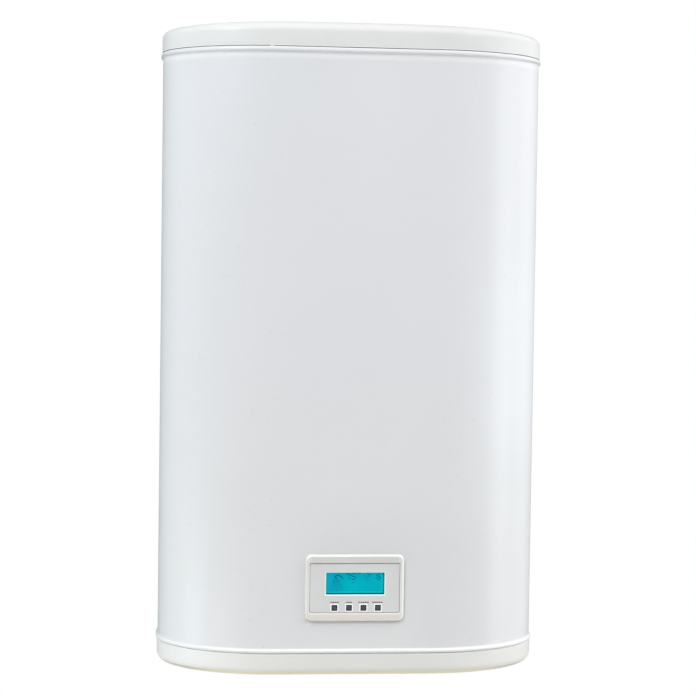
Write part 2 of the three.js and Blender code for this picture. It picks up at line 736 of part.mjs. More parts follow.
// ---------------------------------------------------------------- display panel
const BEZEL_FRONT = CASING_FRONT - PANEL_OUT; // -265.4
const FACE_FRONT = BEZEL_FRONT + 0.9; // front of the faceplate's raised middle
const FLANGE_FRONT = BEZEL_FRONT + 1.8; // its rim lies behind the bezel
const FLANGE_BACK = FLANGE_FRONT + 1.7; // -261.9
{
  let bezel = facePlate(0, PANEL_Z, PANEL_W, PANEL_H, 7.5, BEZEL_FRONT, CASING_FRONT - GAP, 2.4);
  // pocket for the faceplate's rim, open at the back
  bezel = minus(
    bezel,
    facePlate(0, PANEL_Z, PANEL_W - 3.2, PANEL_H - 3.2, 5.5, BEZEL_FRONT + 1.5, CASING_FRONT + 5),
    facePlate(0, FRAME_Z, FRAME_W, FRAME_H, 1.2, BEZEL_FRONT - 5, CASING_FRONT + 5),
  );
  piece("panel_bezel", bezel, M.panel);

  let face = sum(
    facePlate(0, PANEL_Z, PANEL_W - 4, PANEL_H - 4, 5, FLANGE_FRONT, FLANGE_BACK),
    facePlate(0, FRAME_Z, FRAME_W - 2 * GAP, FRAME_H - 2 * GAP, 1, FACE_FRONT, FLANGE_FRONT + 0.2),
  );
  face = face.subtract(
    box(
      WINDOW_X - WINDOW_W / 2,
      WINDOW_X + WINDOW_W / 2,
      FACE_FRONT - 5,
      FLANGE_BACK + 5,
      WINDOW_Z - WINDOW_H / 2,
      WINDOW_Z + WINDOW_H / 2,
    ),
  );
  for (const x of KEY_X)
    face = face.subtract(
      box(x - KEY / 2 - 0.25, x + KEY / 2 + 0.25, FACE_FRONT - 5, FLANGE_BACK + 5, KEY_Z - KEY / 2 - 0.25, KEY_Z + KEY / 2 + 0.25),
    );
  piece("panel_faceplate", face, M.panel);

  KEY_X.forEach((x, i) => {
    piece(
      "button_" + (i + 1),
      sum(
        box(x - KEY / 2, x + KEY / 2, FACE_FRONT - 0.5, FLANGE_BACK + 1, KEY_Z - KEY / 2, KEY_Z + KEY / 2),
        box(x - 4.6, x + 4.6, FLANGE_BACK + GAP, FLANGE_BACK + 1.3, KEY_Z - 4.6, KEY_Z + 4.6),
        box(x - 1.6, x + 1.6, FLANGE_BACK + 1, FLANGE_BACK + 3.2, KEY_Z - 1.6, KEY_Z + 1.6),
      ),
      M.key,
    );
  });

  // display stack, front to back: glass, light block, board
  const lcdX0 = WINDOW_X - 39;
  const lcdX1 = WINDOW_X + 39;
  const lcdZ0 = WINDOW_Z - WINDOW_H / 2 - 3;
  const lcdZ1 = WINDOW_Z + WINDOW_H / 2 + 3;
  piece("lcd_glass", box(lcdX0, lcdX1, FLANGE_BACK + 1, FLANGE_BACK + 3.8, lcdZ0, lcdZ1), M.lcd);
  piece("lcd_backlight", box(lcdX0, lcdX1, FLANGE_BACK + 4.1, FLANGE_BACK + 7.6, lcdZ0, lcdZ1), M.light);
  const boardY = FLANGE_BACK + 7.9; // -254
  let pcb = box(-51.5, 51.5, boardY, boardY + 1.6, -314, -247.6);
  for (const x of KEY_X) {
    pcb = pcb.add(box(x - 3, x + 3, boardY - 3.4, boardY + 0.1, KEY_Z - 3, KEY_Z + 3));
    pcb = pcb.add(rodY(x, KEY_Z, 1.6, boardY - 3.8, boardY - 3.2, 10));
  }
  pcb = pcb.add(box(-12, 2, boardY + 1.5, boardY + 4.2, -295.4, -291));
  piece("display_board", pcb, M.board);

  // rear housing, open at the front
  const y0 = FLANGE_BACK + GAP;
  const y1 = CASING_FRONT + 21.4;
  let tray = minus(box(-54, 54, y0, y1, -316.3, -245.3), box(-52.4, 52.4, y0 - 1, y1 - 1.6, -314.7, -246.9));
  for (const [x, z] of [
    [-48, -310.5],
    [48, -310.5],
    [-48, -251],
    [48, -251],
  ])
    tray = tray.add(rodY(x, z, 2.5, boardY + 1.9, y1 - 1, 8));
  tray = tray.subtract(box(-13, 3, y1 - 10, y1 - 3, -320, -312));
  piece("panel_back_box", tray, M.nylon);
}

// flat cable from the display board down to the power board
{
  const strip = new THREE.Shape();
  // the section's first axis lies along x on this path, so the strip is wide on that axis
  strip.moveTo(-6, -0.5);
  strip.lineTo(6, -0.5);
  strip.lineTo(6, 0.5);
  strip.lineTo(-6, 0.5);
  strip.closePath();
  const path = new THREE.CatmullRomCurve3(
    [
      [-5, -251.1, -295.8],
      [-5, -249.2, -299.5],
      [-5, -246.6, -306],
      [-5, -246.4, -318],
      [-5, -246, -332],
      [-5, -240, -342],
      [-5, -229, -345.5],
      [-5, -219, -341.5],
      [-5, -214.6, -337.5],
      [-5, -214.2, -333.5],
    ].map((p) => new THREE.Vector3(...p)),
    false,
    "centripetal",
  );
  piece(
    "ribbon_cable",
    solid(new THREE.ExtrudeGeometry(strip, { steps: 26, bevelEnabled: false, extrudePath: path })),
    M.ribbon,
  );
}

// ---------------------------------------------------------------- insulation, poured round everything above
{
  let foam = sum(
    plan(CASING_IN + SHEET + GAP, FOAM_LOW, SEAM_Z - 14.6),
    domed(SKIRT_IN + GAP, SEAM_Z - 15, TOP_Z - 2.9, TOP_ROUND_H - 2, TOP_ROUND_W - 2),
  );
  for (const s of [-1, 1])
    foam = minus(
      foam,
      turned(s * TANK_X, MID_Y, domeProfile(TANK_R + 0.6, DOME_H + 0.6, TANK_LOW, TANK_HIGH), 28),
      rod(s * PIPE_X, PIPE_Y, PIPE_RO + 0.6, FOAM_LOW - 5, -270, 20),
      rod(s * HEAD_X, HEAD_Y, BOSS_R + 0.6, FOAM_LOW - 5, -280, 20),
    );
  foam = minus(
    foam,
    rod(ANODE_X, ANODE_Y, 13.8, FOAM_LOW - 5, -275, 18),
    rodX(MID_Y, 285, 12.5, -25, 25, 20),
    rodX(MID_Y, -235, 12.5, -25, 25, 20),
    box(-55, 55, CASING_FRONT - 2, CASING_FRONT + 22.4, FOAM_LOW - 10, -243.5),
    rodY(0, 60, 10, CASING_BACK - 9, CASING_BACK + 3, 16),
  );
  for (const z of [BRACKET_UP, BRACKET_DOWN]) {
    foam = foam.subtract(box(-128.4, 128.4, SADDLE_FRONT - 0.3, SADDLE_FRONT + 3.4, z - 20.4, z + 20.4));
    for (const s of [-1, 1]) {
      foam = foam.subtract(rodY(s * BOLT_X, z, 8.5, SADDLE_FRONT + 1, SADDLE_FRONT + 8.5, 16));
      foam = foam.subtract(rodY(s * BOLT_X, z, 4.6, SADDLE_FRONT - 5, CASING_BACK + 2, 14));
    }
  }
  piece("foam_insulation", foam, M.foam);
}

export default model;
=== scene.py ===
import math

import bmesh
import bpy
import numpy as np
from mathutils import Matrix, Vector


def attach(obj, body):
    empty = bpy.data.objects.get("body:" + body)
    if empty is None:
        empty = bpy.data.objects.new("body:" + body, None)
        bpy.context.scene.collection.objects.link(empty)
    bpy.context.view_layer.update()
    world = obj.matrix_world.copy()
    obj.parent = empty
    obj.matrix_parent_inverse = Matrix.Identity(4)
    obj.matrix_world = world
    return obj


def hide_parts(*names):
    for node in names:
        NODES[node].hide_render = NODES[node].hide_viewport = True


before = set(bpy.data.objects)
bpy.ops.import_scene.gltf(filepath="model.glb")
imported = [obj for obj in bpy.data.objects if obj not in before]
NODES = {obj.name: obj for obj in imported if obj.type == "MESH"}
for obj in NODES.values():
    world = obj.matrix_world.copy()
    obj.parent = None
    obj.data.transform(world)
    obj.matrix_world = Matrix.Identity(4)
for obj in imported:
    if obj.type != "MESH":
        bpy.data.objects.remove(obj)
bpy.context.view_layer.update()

# ------------------------------------------------------------------ the frame's sizes, in millimetres
# z is measured from the middle of the casing here, and mesh_object() moves it to the frame's origin.
LIFT = 230.0
WIDTH, DEPTH = 470.0, 252.0
CX, CY = 143.0, 116.2
HX, HY = WIDTH / 2 - CX, DEPTH / 2 - CY
MID_Y = -11.7 - DEPTH / 2
FRONT = -11.7 - DEPTH + 2.3
BACK = -14.0
SEAM = 360.0
TOP_Z = 390.5
CROWN = 4.3
BASE_Z = -387.0
PIPE_X, PIPE_Y, PIPE_END = 50.0, -95.0, -408.0
GLAND_X, GLAND_Y = -150.0, -80.0
PANEL_W, PANEL_H, PANEL_Z = 118.4, 80.1, -280.9
FRAME_W, FRAME_H, FRAME_Z = 108.0, 59.4, -281.1
BEZEL_FRONT = FRONT - 4.0
FACE_FRONT = BEZEL_FRONT + 0.9
FLANGE_FRONT = BEZEL_FRONT + 1.8
FLANGE_BACK = FLANGE_FRONT + 1.7
WIN_X, WIN_Z, WIN_W, WIN_H = 0.6, -275.9, 70.2, 26.3
KEY_X = (-24.2, -6.8, 10.6, 28.0)
KEY_Z, KEY = -304.8, 6.9
BOLT_X = 76.0
BRACKET_UP, BRACKET_DOWN = 230.0, -200.0
SADDLE_Y = MID_Y + 104.3

scene = bpy.context.scene


# ------------------------------------------------------------------ mesh helpers
def mesh_object(name, verts, faces, mats, body="heater", angle=32.0, weld=True):
    """A piece from millimetre vertices, shaded smooth up to an angle."""
    co = np.asarray(verts, float).reshape(-1, 3).copy()
    co[:, 2] -= LIFT
    co /= 1000.0
    me = bpy.data.meshes.new(name)
    me.from_pydata(co.tolist(), [], [list(map(int, f)) for f in faces])
    me.validate()
    bm = bmesh.new()
    bm.from_mesh(me)
    if weld:
        bmesh.ops.remove_doubles(bm, verts=bm.verts, dist=2e-6)
        bmesh.ops.dissolve_degenerate(bm, edges=bm.edges, dist=1e-7)
    bmesh.ops.recalc_face_normals(bm, faces=bm.faces)
    bm.to_mesh(me)
    bm.free()
    obj = bpy.data.objects.new(name, me)
    scene.collection.objects.link(obj)
    for m in mats if isinstance(mats, (list, tuple)) else [mats]:
        me.materials.append(m)
    shade(obj, angle)
    if body:
        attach(obj, body)
    return obj


def shade(obj, angle=32.0):
    me = obj.data
    me.polygons.foreach_set("use_smooth", [True] * len(me.polygons))
    me.set_sharp_from_angle(angle=math.radians(angle))
    me.update()


def apply_all(obj, angle=None):
    """Bakes an object's modifiers into its mesh."""
    bpy.context.view_layer.update()
    dg = bpy.context.evaluated_depsgraph_get()
    made = bpy.data.meshes.new_from_object(obj.evaluated_get(dg), depsgraph=dg)
    obj.modifiers.clear()
    old = obj.data
    obj.data = made
    made.name = old.name + "_made"
    bpy.data.meshes.remove(old)
    if angle is not None:
        shade(obj, angle)
    return obj


def cut(obj, cutters, angle=32.0, operation="DIFFERENCE"):
    for c in cutters:
        m = obj.modifiers.new("cut", "BOOLEAN")
        m.operation = operation
        m.solver = "EXACT"
        m.object = c
    apply_all(obj, angle)
    for c in cutters:
        me = c.data
        bpy.data.objects.remove(c)
        bpy.data.meshes.remove(me)
    return obj


def bevel(obj, width, segments=2, limit=35.0, angle=32.0):
    m = obj.modifiers.new("bevel", "BEVEL")
    m.width = width / 1000.0
    m.segments = segments
    m.limit_method = "ANGLE"
    m.angle_limit = math.radians(limit)
    m.use_clamp_overlap = True
    return apply_all(obj, angle)


def strips(rings, closed_loop=False, cap_first=False, cap_last=False):
    """Faces between equal rings of points. rings is a list of (n, 3) arrays."""
    n = len(rings[0])
    verts = np.concatenate(rings)
    faces = []
    m = len(rings)
    for k in range(m if closed_loop else m - 1):
        a, b = k * n, ((k + 1) % m) * n
        for i in range(n):
            j = (i + 1) % n
            faces.append((a + i, a + j, b + j, b + i))
    if cap_first:
        c = len(verts)
        verts = np.vstack([verts, rings[0].mean(0)])
        faces += [(c, (i + 1) % n, i) for i in range(n)]
    if cap_last:
        c = len(verts)
        verts = np.vstack([verts, rings[-1].mean(0)])
        a = (m - 1) * n
        faces += [(c, a + i, a + (i + 1) % n) for i in range(n)]
    return verts, faces


def join(parts):
    """Joins several (verts, faces) into one."""
    vs, fs, at = [], [], 0
    for v, f in parts:
        vs.append(np.asarray(v, float))
        fs += [tuple(i + at for i in face) for face in f]
        at += len(v)
    return np.concatenate(vs), fs


def turned(profile, x=0.0, y=0.0, n=48, wobble=None):
    """A closed turned solid about a vertical axis from (radius, z) pairs. Zero radii close it at the axis."""
    a = np.arange(n) * 2 * math.pi / n
    rings = []
    for r, z in profile:
        rr = max(r, 1e-4) * np.ones(n)
        if wobble is not None:
            rr = rr * wobble(a, z)
        rings.append(np.stack([x + rr * np.cos(a), y + rr * np.sin(a), z * np.ones(n)], 1))
    return strips(rings, closed_loop=profile[0][0] > 1e-3)


def turn_to_y(vf, x, z, y0=0.0):
    """Turns a solid made about the vertical axis so that its axis runs along y: height z becomes y0 + z."""
    v, f = vf
    v = np.asarray(v, float)
    return np.stack([x + v[:, 0], y0 + v[:, 2], z + v[:, 1]], 1), f


def rounded(cx, cz, w, h, radii, n=7, along=6):
    """A rounded rectangle as an (m, 2) array, counter-clockwise from the lower right corner's start."""
    if not isinstance(radii, (tuple, list)):
        radii = (radii,) * 4  # lower right, upper right, upper left, lower left
    pts = []
    corners = [
        (cx + w / 2, cz - h / 2, -90, radii[0], -1, 1),
        (cx + w / 2, cz + h / 2, 0, radii[1], -1, -1),
        (cx - w / 2, cz + h / 2, 90, radii[2], 1, -1),
        (cx - w / 2, cz - h / 2, 180, radii[3], 1, 1),
    ]
    arcs = []
    for x, z, start, r, sx, sz in corners:
        ox, oz = x + sx * r, z + sz * r
        arc = [
            (ox + r * math.cos(math.radians(start + 90 * i / n)), oz + r * math.sin(math.radians(start + 90 * i / n)))
            for i in range(n + 1)
        ]
        arcs.append(arc)
    for k in range(4):
        pts += arcs[k]
        a, b = np.array(arcs[k][-1]), np.array(arcs[(k + 1) % 4][0])
        for i in range(1, along):
            pts.append(tuple(a + (b - a) * i / along))
    return np.array(pts)


def upright(loop, y):
    """A loop in x and z, set upright at depth y."""
    return np.stack([loop[:, 0], np.full(len(loop), y), loop[:, 1]], 1)


def lying(loop, z):
    """A loop in x and y, laid flat at height z."""
    return np.stack([loop[:, 0], loop[:, 1], np.full(len(loop), z)], 1)


def block(x0, x1, y0, y1, z0, z1):
    """A box used as a cutter or as raw stock that a bevel then rounds."""
    v = np.array([(x, y, z) for z in (z0, z1) for y in (y0, y1) for x in (x0, x1)], float)
    f = [(0, 1, 3, 2), (4, 6, 7, 5), (0, 4, 5, 1), (2, 3, 7, 6), (0, 2, 6, 4), (1, 5, 7, 3)]
    return v, f


def prism(loop3_low, loop3_high):
    """A closed prism between two equal loops."""
    n = len(loop3_low)
    v = np.concatenate([loop3_low, loop3_high])
    f = [tuple(range(n))[::-1], tuple(range(n, 2 * n))]
    f += [(i, (i + 1) % n, n + (i + 1) % n, n + i) for i in range(n)]
    return v, f


def cutter(vf):
    return mesh_object("cutter", vf[0], vf[1], [], body=None, weld=False)


def rod_z(x, y, r, z0, z1, n=40):
    a = np.arange(n) * 2 * math.pi / n
    loop = np.stack([x + r * np.cos(a), y + r * np.sin(a)], 1)
    return prism(lying(loop, z0), lying(loop, z1))


def rod_y(x, z, r, y0, y1, n=40):
    a = np.arange(n) * 2 * math.pi / n
    loop = np.stack([x + r * np.cos(a), z + r * np.sin(a)], 1)
    return prism(upright(loop, y0), upright(loop, y1))


def tube(path, r, n=16, caps=True):
    """A round solid along a list of points, with parallel-carried sections."""
    p = np.asarray(path, float)
    t = np.gradient(p, axis=0)
    t /= np.linalg.norm(t, axis=1)[:, None]
    u = np.cross(t[0], (0.0, 0.0, 1.0))
    if np.linalg.norm(u) < 1e-3:
        u = np.cross(t[0], (1.0, 0.0, 0.0))
    u /= np.linalg.norm(u)
    a = np.arange(n) * 2 * math.pi / n
    rings = []
    rr = np.broadcast_to(np.asarray(r, float), (len(p),))
    for k in range(len(p)):
        u = u - t[k] * np.dot(u, t[k])
        u /= np.linalg.norm(u)
        w = np.cross(t[k], u)
        rings.append(p[k] + rr[k] * (np.cos(a)[:, None] * u + np.sin(a)[:, None] * w))
    return strips(rings, cap_first=caps, cap_last=caps)


# ------------------------------------------------------------------ plan outline
FLAT_X = [-HX, -80, -67, -54.6, -41, -27, -13.5, 0.0, 13.5, 27, 41, 54.6, 67, 80, HX]
CORNER_N = 30


def outline(t):
    """The heater's plan outline, inset by t, as an (n, 2) array that starts at the right side and runs to the rear."""
    ax, ay = CX - t, CY - t
    pts = []
    q = np.radians(90.0 * np.arange(CORNER_N) / CORNER_N)
    flats = [x for x in FLAT_X]
    for y in (-HY, 0.0):
        pts.append((HX + ax, MID_Y + y))
    pts += [(HX + ax * math.cos(a), MID_Y + HY + ay * math.sin(a)) for a in q]
    pts += [(x, MID_Y + HY + ay) for x in flats[::-1][:-1]]
    pts += [(-HX - ax * math.sin(a), MID_Y + HY + ay * math.cos(a)) for a in q]
    for y in (HY, 0.0):
        pts.append((-HX - ax, MID_Y + y))
    pts += [(-HX - ax * math.cos(a), MID_Y - HY - ay * math.sin(a)) for a in q]
    pts += [(x, MID_Y - HY - ay) for x in flats[:-1]]
    pts += [(HX + ax * math.sin(a), MID_Y - HY - ay * math.cos(a)) for a in q]
    return np.array(pts)


def ring_at(t, z):
    return lying(outline(t), z)


def scaled_ring(t, s, z):
    loop = outline(t)
    return lying(np.stack([loop[:, 0] * s, MID_Y + (loop[:, 1] - MID_Y) * s], 1), z)


# ------------------------------------------------------------------ materials
def new_material(name):
    m = bpy.data.materials.new(name)
    m.use_nodes = True
    nt = m.node_tree
    nt.nodes.clear()
    out = nt.nodes.new("ShaderNodeOutputMaterial")
    bsdf = nt.nodes.new("ShaderNodeBsdfPrincipled")
    nt.links.new(bsdf.outputs[0], out.inputs[0])
    return m, nt, bsdf


def linear(c):
    return tuple(((v / 255) / 12.92 if v <= 10.3 else (((v / 255) + 0.055) / 1.055) ** 2.4) for v in c) + (1.0,)


def coords(nt, scale=(1, 1, 1)):
    tc = nt.nodes.new("ShaderNodeTexCoord")
    mp = nt.nodes.new("ShaderNodeMapping")
    mp.inputs["Scale"].default_value = scale
    nt.links.new(tc.outputs["Object"], mp.inputs["Vector"])
    return mp.outputs["Vector"]


def noise(nt, vec, scale, detail=2.0, rough=0.5):
    n = nt.nodes.new("ShaderNodeTexNoise")
    n.inputs["Scale"].default_value = scale
    n.inputs["Detail"].default_value = detail
    n.inputs["Roughness"].default_value = rough
    nt.links.new(vec, n.inputs["Vector"])
    return n.outputs["Fac"]


def remap(nt, value, a, b, c, d, smooth=False):
    n = nt.nodes.new("ShaderNodeMapRange")
    n.interpolation_type = "SMOOTHSTEP" if smooth else "LINEAR"
    n.inputs[1].default_value, n.inputs[2].default_value = a, b
    n.inputs[3].default_value, n.inputs[4].default_value = c, d
    nt.links.new(value, n.inputs[0])
    return n.outputs[0]


def mix(nt, fac, a, b):
    n = nt.nodes.new("ShaderNodeMix")
    n.data_type = "RGBA"
    for socket, v in ((n.inputs[6], a), (n.inputs[7], b)):
        if isinstance(v, tuple):
            socket.default_value = v
        else:
            nt.links.new(v, socket)
    if isinstance(fac, float):
        n.inputs[0].default_value = fac
    else:
        nt.links.new(fac, n.inputs[0])
    return n.outputs[2]


def math_node(nt, op, a, b=None):
    n = nt.nodes.new("ShaderNodeMath")
    n.operation = op
    for socket, v in ((n.inputs[0], a), (n.inputs[1], b)):
        if v is None:
            continue
        if isinstance(v, (int, float)):
            socket.default_value = v
        else:
            nt.links.new(v, socket)
    return n.outputs[0]


def bump(nt, bsdf, height, strength, distance, before=None):
    n = nt.nodes.new("ShaderNodeBump")
    n.inputs["Strength"].default_value = strength
    n.inputs["Distance"].default_value = distance
    nt.links.new(height, n.inputs["Height"])
    if before is not None:
        nt.links.new(before, n.inputs["Normal"])
    nt.links.new(n.outputs[0], bsdf.inputs["Normal"])
    return n.outputs[0]


def painted_glow(m, colour, strength):
    """Painted glow: emission on a part that is no lamp, standing in for the display's light on the window lip and key
    collars, and for a painted highlight on the bezel rim.
    """
    bsdf = next(n for n in m.node_tree.nodes if n.bl_idname == "ShaderNodeBsdfPrincipled")
    bsdf.inputs["Emission Color"].default_value = linear(colour)
    bsdf.inputs["Emission Strength"].default_value = strength
    return m


def surface(
    name,
    low,
    high,
    rough=(0.3, 0.4),
    metal=0.0,
    coat=0.0,
    spec=0.5,
    cloud=6.0,
    grain=700.0,
    grain_strength=0.06,
    stretch=(1, 1, 1),
    dust=None,
):
    """A material with cloudy colour between two tones, varied roughness and a fine grain in the bump."""
    m, nt, bsdf = new_material(name)
    v = coords(nt)
    vs = coords(nt, stretch)
    c = noise(nt, v, cloud, 3.0)
    colour = mix(nt, remap(nt, c, 0.35, 0.65, 0.0, 1.0), linear(low), linear(high))
    if dust is not None:
        spots = remap(nt, noise(nt, v, 900.0, 1.0), 0.66, 0.72, 0.0, 0.5)
        colour = mix(nt, spots, colour, linear(dust))
    nt.links.new(colour, bsdf.inputs["Base Color"])
    g = noise(nt, vs, grain, 2.0)
    nt.links.new(remap(nt, g, 0.3, 0.7, rough[0], rough[1]), bsdf.inputs["Roughness"])
    bsdf.inputs["Metallic"].default_value = metal
    bsdf.inputs["Specular IOR Level"].default_value = spec
    bsdf.inputs["Coat Weight"].default_value = coat
    bsdf.inputs["Coat Roughness"].default_value = 0.12
    bump(nt, bsdf, g, grain_strength, 0.0002)
    return m


def brushed(name, low, high, axis="z", rough=(0.22, 0.38), grain=260.0):
    """Metal with a drawn finish along one axis."""
    s = {"x": (0.03, 1, 1), "y": (1, 0.03, 1), "z": (1, 1, 0.03)}[axis]
    return surface(name, low, high, rough=rough, metal=1.0, cloud=14.0, grain=grain, grain_strength=0.12, stretch=s)


# satin white paint on sheet steel: a soft orange-peel skin over a barely uneven sheet
def patch(nt, x, z, x_range, z_range, soft_x, soft_z):
    """A soft-edged area in x and z, 1 inside and 0 outside."""
    sides = (
        remap(nt, x, x_range[0] - soft_x, x_range[0] + soft_x, 0.0, 1.0, smooth=True),
        remap(nt, x, x_range[1] - soft_x, x_range[1] + soft_x, 1.0, 0.0, smooth=True),
        remap(nt, z, z_range[0] - soft_z, z_range[0] + soft_z, 0.0, 1.0, smooth=True),
        remap(nt, z, z_range[1] - soft_z, z_range[1] + soft_z, 1.0, 0.0, smooth=True),
    )
    return math_node(nt, "MULTIPLY", math_node(nt, "MULTIPLY", sides[0], sides[1]), math_node(nt, "MULTIPLY", sides[2], sides[3]))


def paint_material():
    m, nt, bsdf = new_material("satin_white_paint")
    v = coords(nt)
    sep = nt.nodes.new("ShaderNodeSeparateXYZ")
    nt.links.new(v, sep.inputs[0])
    x, z = sep.outputs["X"], sep.outputs["Z"]
    front = remap(nt, sep.outputs["Y"], -0.22, -0.20, 1.0, 0.0, smooth=True)

    def on_front(x_range, z_range, soft_x, soft_z):
        return math_node(nt, "MULTIPLY", front, patch(nt, x, z, x_range, z_range, soft_x, soft_z))

    tone = noise(nt, coords(nt, (1.0, 1.0, 0.35)), 3.2, 2.0)
    tone = remap(nt, tone, 0.35, 0.65, 0.0, 1.0)
    # painted light: the upper casing is a touch bluer than the lower, for the bluish light from above
    lower = mix(nt, tone, linear((236, 240, 243)), linear((240, 243, 245)))
    upper = mix(nt, tone, linear((236, 240, 245)), linear((240, 243, 247)))
    base = mix(nt, remap(nt, z, -0.42, -0.22, 0.0, 1.0, smooth=True), lower, upper)
    # painted shade: greyer round the panel and lower to its right; painted light: lighter high on the right, and
    # lighter just under the upper bead where the bead's shade falls
    base = mix(nt, on_front((-0.058, 0.075), (-0.53, -0.43), 0.05, 0.045), base, linear((231, 234, 237)))
    base = mix(nt, on_front((0.075, 0.20), (-0.61, -0.44), 0.02, 0.04), base, linear((234, 237, 240)))
    base = mix(nt, patch(nt, x, z, (0.148, 0.24), (-0.34, -0.13), 0.02, 0.05), base, linear((241, 245, 249)))
    top = (SEAM - LIFT) / 1000
    base = mix(nt, patch(nt, x, z, (-0.3, 0.3), (top - 0.0130, top - 0.0070), 0.01, 0.0030), base, linear((250, 253, 255)))
    # painted shadow along the panel's right edge, painted light on the strip under the panel where its shadow falls,
    # and painted light on the lower bead
    base = mix(nt, on_front((0.0586, 0.0604), (-0.546, -0.478), 0.0004, 0.004), base, linear((206, 208, 208)))
    base = mix(nt, on_front((-0.057, 0.057), (-0.5565, -0.5505), 0.002, 0.0015), base, linear((249, 252, 254)))
    low = (-SEAM - LIFT) / 1000
    base = mix(nt, remap(nt, z, low + 0.0046, low + 0.0054, 1.0, 0.0, smooth=True), base, linear((248, 251, 254)))
    specks = remap(nt, noise(nt, v, 420.0, 0.0), 0.80, 0.83, 0.0, 0.25)
    base = mix(nt, specks, base, linear((190, 192, 190)))
    nt.links.new(base, bsdf.inputs["Base Color"])
    peel = noise(nt, v, 650.0, 1.5)
    nt.links.new(remap(nt, noise(nt, v, 22.0, 2.0), 0.3, 0.7, 0.30, 0.37), bsdf.inputs["Roughness"])
    bsdf.inputs["Specular IOR Level"].default_value = 0.5
    bsdf.inputs["Coat Weight"].default_value = 0.25
    bsdf.inputs["Coat Roughness"].default_value = 0.18
    wave = noise(nt, coords(nt, (1.0, 1.0, 0.5)), 5.0, 1.0)
    first = bump(nt, bsdf, wave, 0.10, 0.004)
    bump(nt, bsdf, peel, 0.035, 0.00025, before=first)
    return m


def cap_material(name, low, high, warm=None, warm_z=(0.0, 0.0), pale=None, coat=0.0, rails=None, lip_z=None, flat_z=None, ends=None):
    """Moulded plastic with a faint grain; warm tints it below a height as painted warm light from below, pale lifts its
    left end as painted light from the lower left, rails lifts both sides as painted light on the sides, lip_z is the
    height of an edge made paler as a painted highlight, below flat_z the flat underside takes less of the painted warm
    light, and ends greys the lowest edge towards both ends."""
    m, nt, bsdf = new_material(name)
    v = coords(nt)
    c = noise(nt, v, 9.0, 3.0)
    colour = mix(nt, remap(nt, c, 0.35, 0.65, 0.0, 1.0), linear(low), linear(high))
    sep = nt.nodes.new("ShaderNodeSeparateXYZ")
    nt.links.new(v, sep.inputs[0])
    if pale is not None:
        colour = mix(nt, remap(nt, sep.outputs["X"], -0.20, -0.02, 1.0, 0.0, smooth=True), colour, linear(pale))
    if lip_z is not None:
        colour = mix(nt, patch(nt, sep.outputs["X"], sep.outputs["Z"], (-0.3, 0.3), (lip_z + 0.0002, lip_z + 0.0015), 0.01, 0.0004), colour, linear((254, 255, 255)))
    if rails is not None:
        fac = remap(nt, math_node(nt, "ABSOLUTE", sep.outputs["X"]), rails[0], rails[1], 0.0, 1.0, smooth=True)
        colour = mix(nt, fac, colour, linear(rails[2]))
    if warm is not None:
        fac = remap(nt, sep.outputs["Z"], warm_z[0], warm_z[1], 1.0, 0.0, smooth=True)
        if flat_z is not None:
            fac = math_node(nt, "MULTIPLY", fac, remap(nt, sep.outputs["Z"], flat_z + 0.0001, flat_z + 0.0024, 0.22, 1.0, smooth=True))
        colour = mix(nt, fac, colour, linear(warm))
    if ends is not None:
        far = remap(nt, math_node(nt, "ABSOLUTE", sep.outputs["X"]), 0.145, 0.212, 0.0, 1.0, smooth=True)
        edge = remap(nt, sep.outputs["Z"], flat_z + 0.0030, flat_z + 0.0066, 1.0, 0.0, smooth=True)
        under = remap(nt, sep.outputs["Z"], flat_z + 0.00002, flat_z + 0.0003, 0.15, 1.0, smooth=True)
        colour = mix(nt, math_node(nt, "MULTIPLY", far, math_node(nt, "MULTIPLY", edge, under)), colour, linear(ends))
    nt.links.new(colour, bsdf.inputs["Base Color"])
    g = noise(nt, v, 1100.0, 2.0)
    nt.links.new(remap(nt, noise(nt, v, 40.0, 3.0), 0.3, 0.7, 0.30, 0.40), bsdf.inputs["Roughness"])
    bsdf.inputs["Specular IOR Level"].default_value = 0.5
    bsdf.inputs["Coat Weight"].default_value = coat
    bsdf.inputs["Coat Roughness"].default_value = 0.16
    bsdf.inputs["Subsurface Weight"].default_value = 0.04
    bsdf.inputs["Subsurface Radius"].default_value = (0.004, 0.004, 0.003)
    bsdf.inputs["Subsurface Scale"].default_value = 0.5
    bump(nt, bsdf, g, 0.03, 0.0002)
    return m


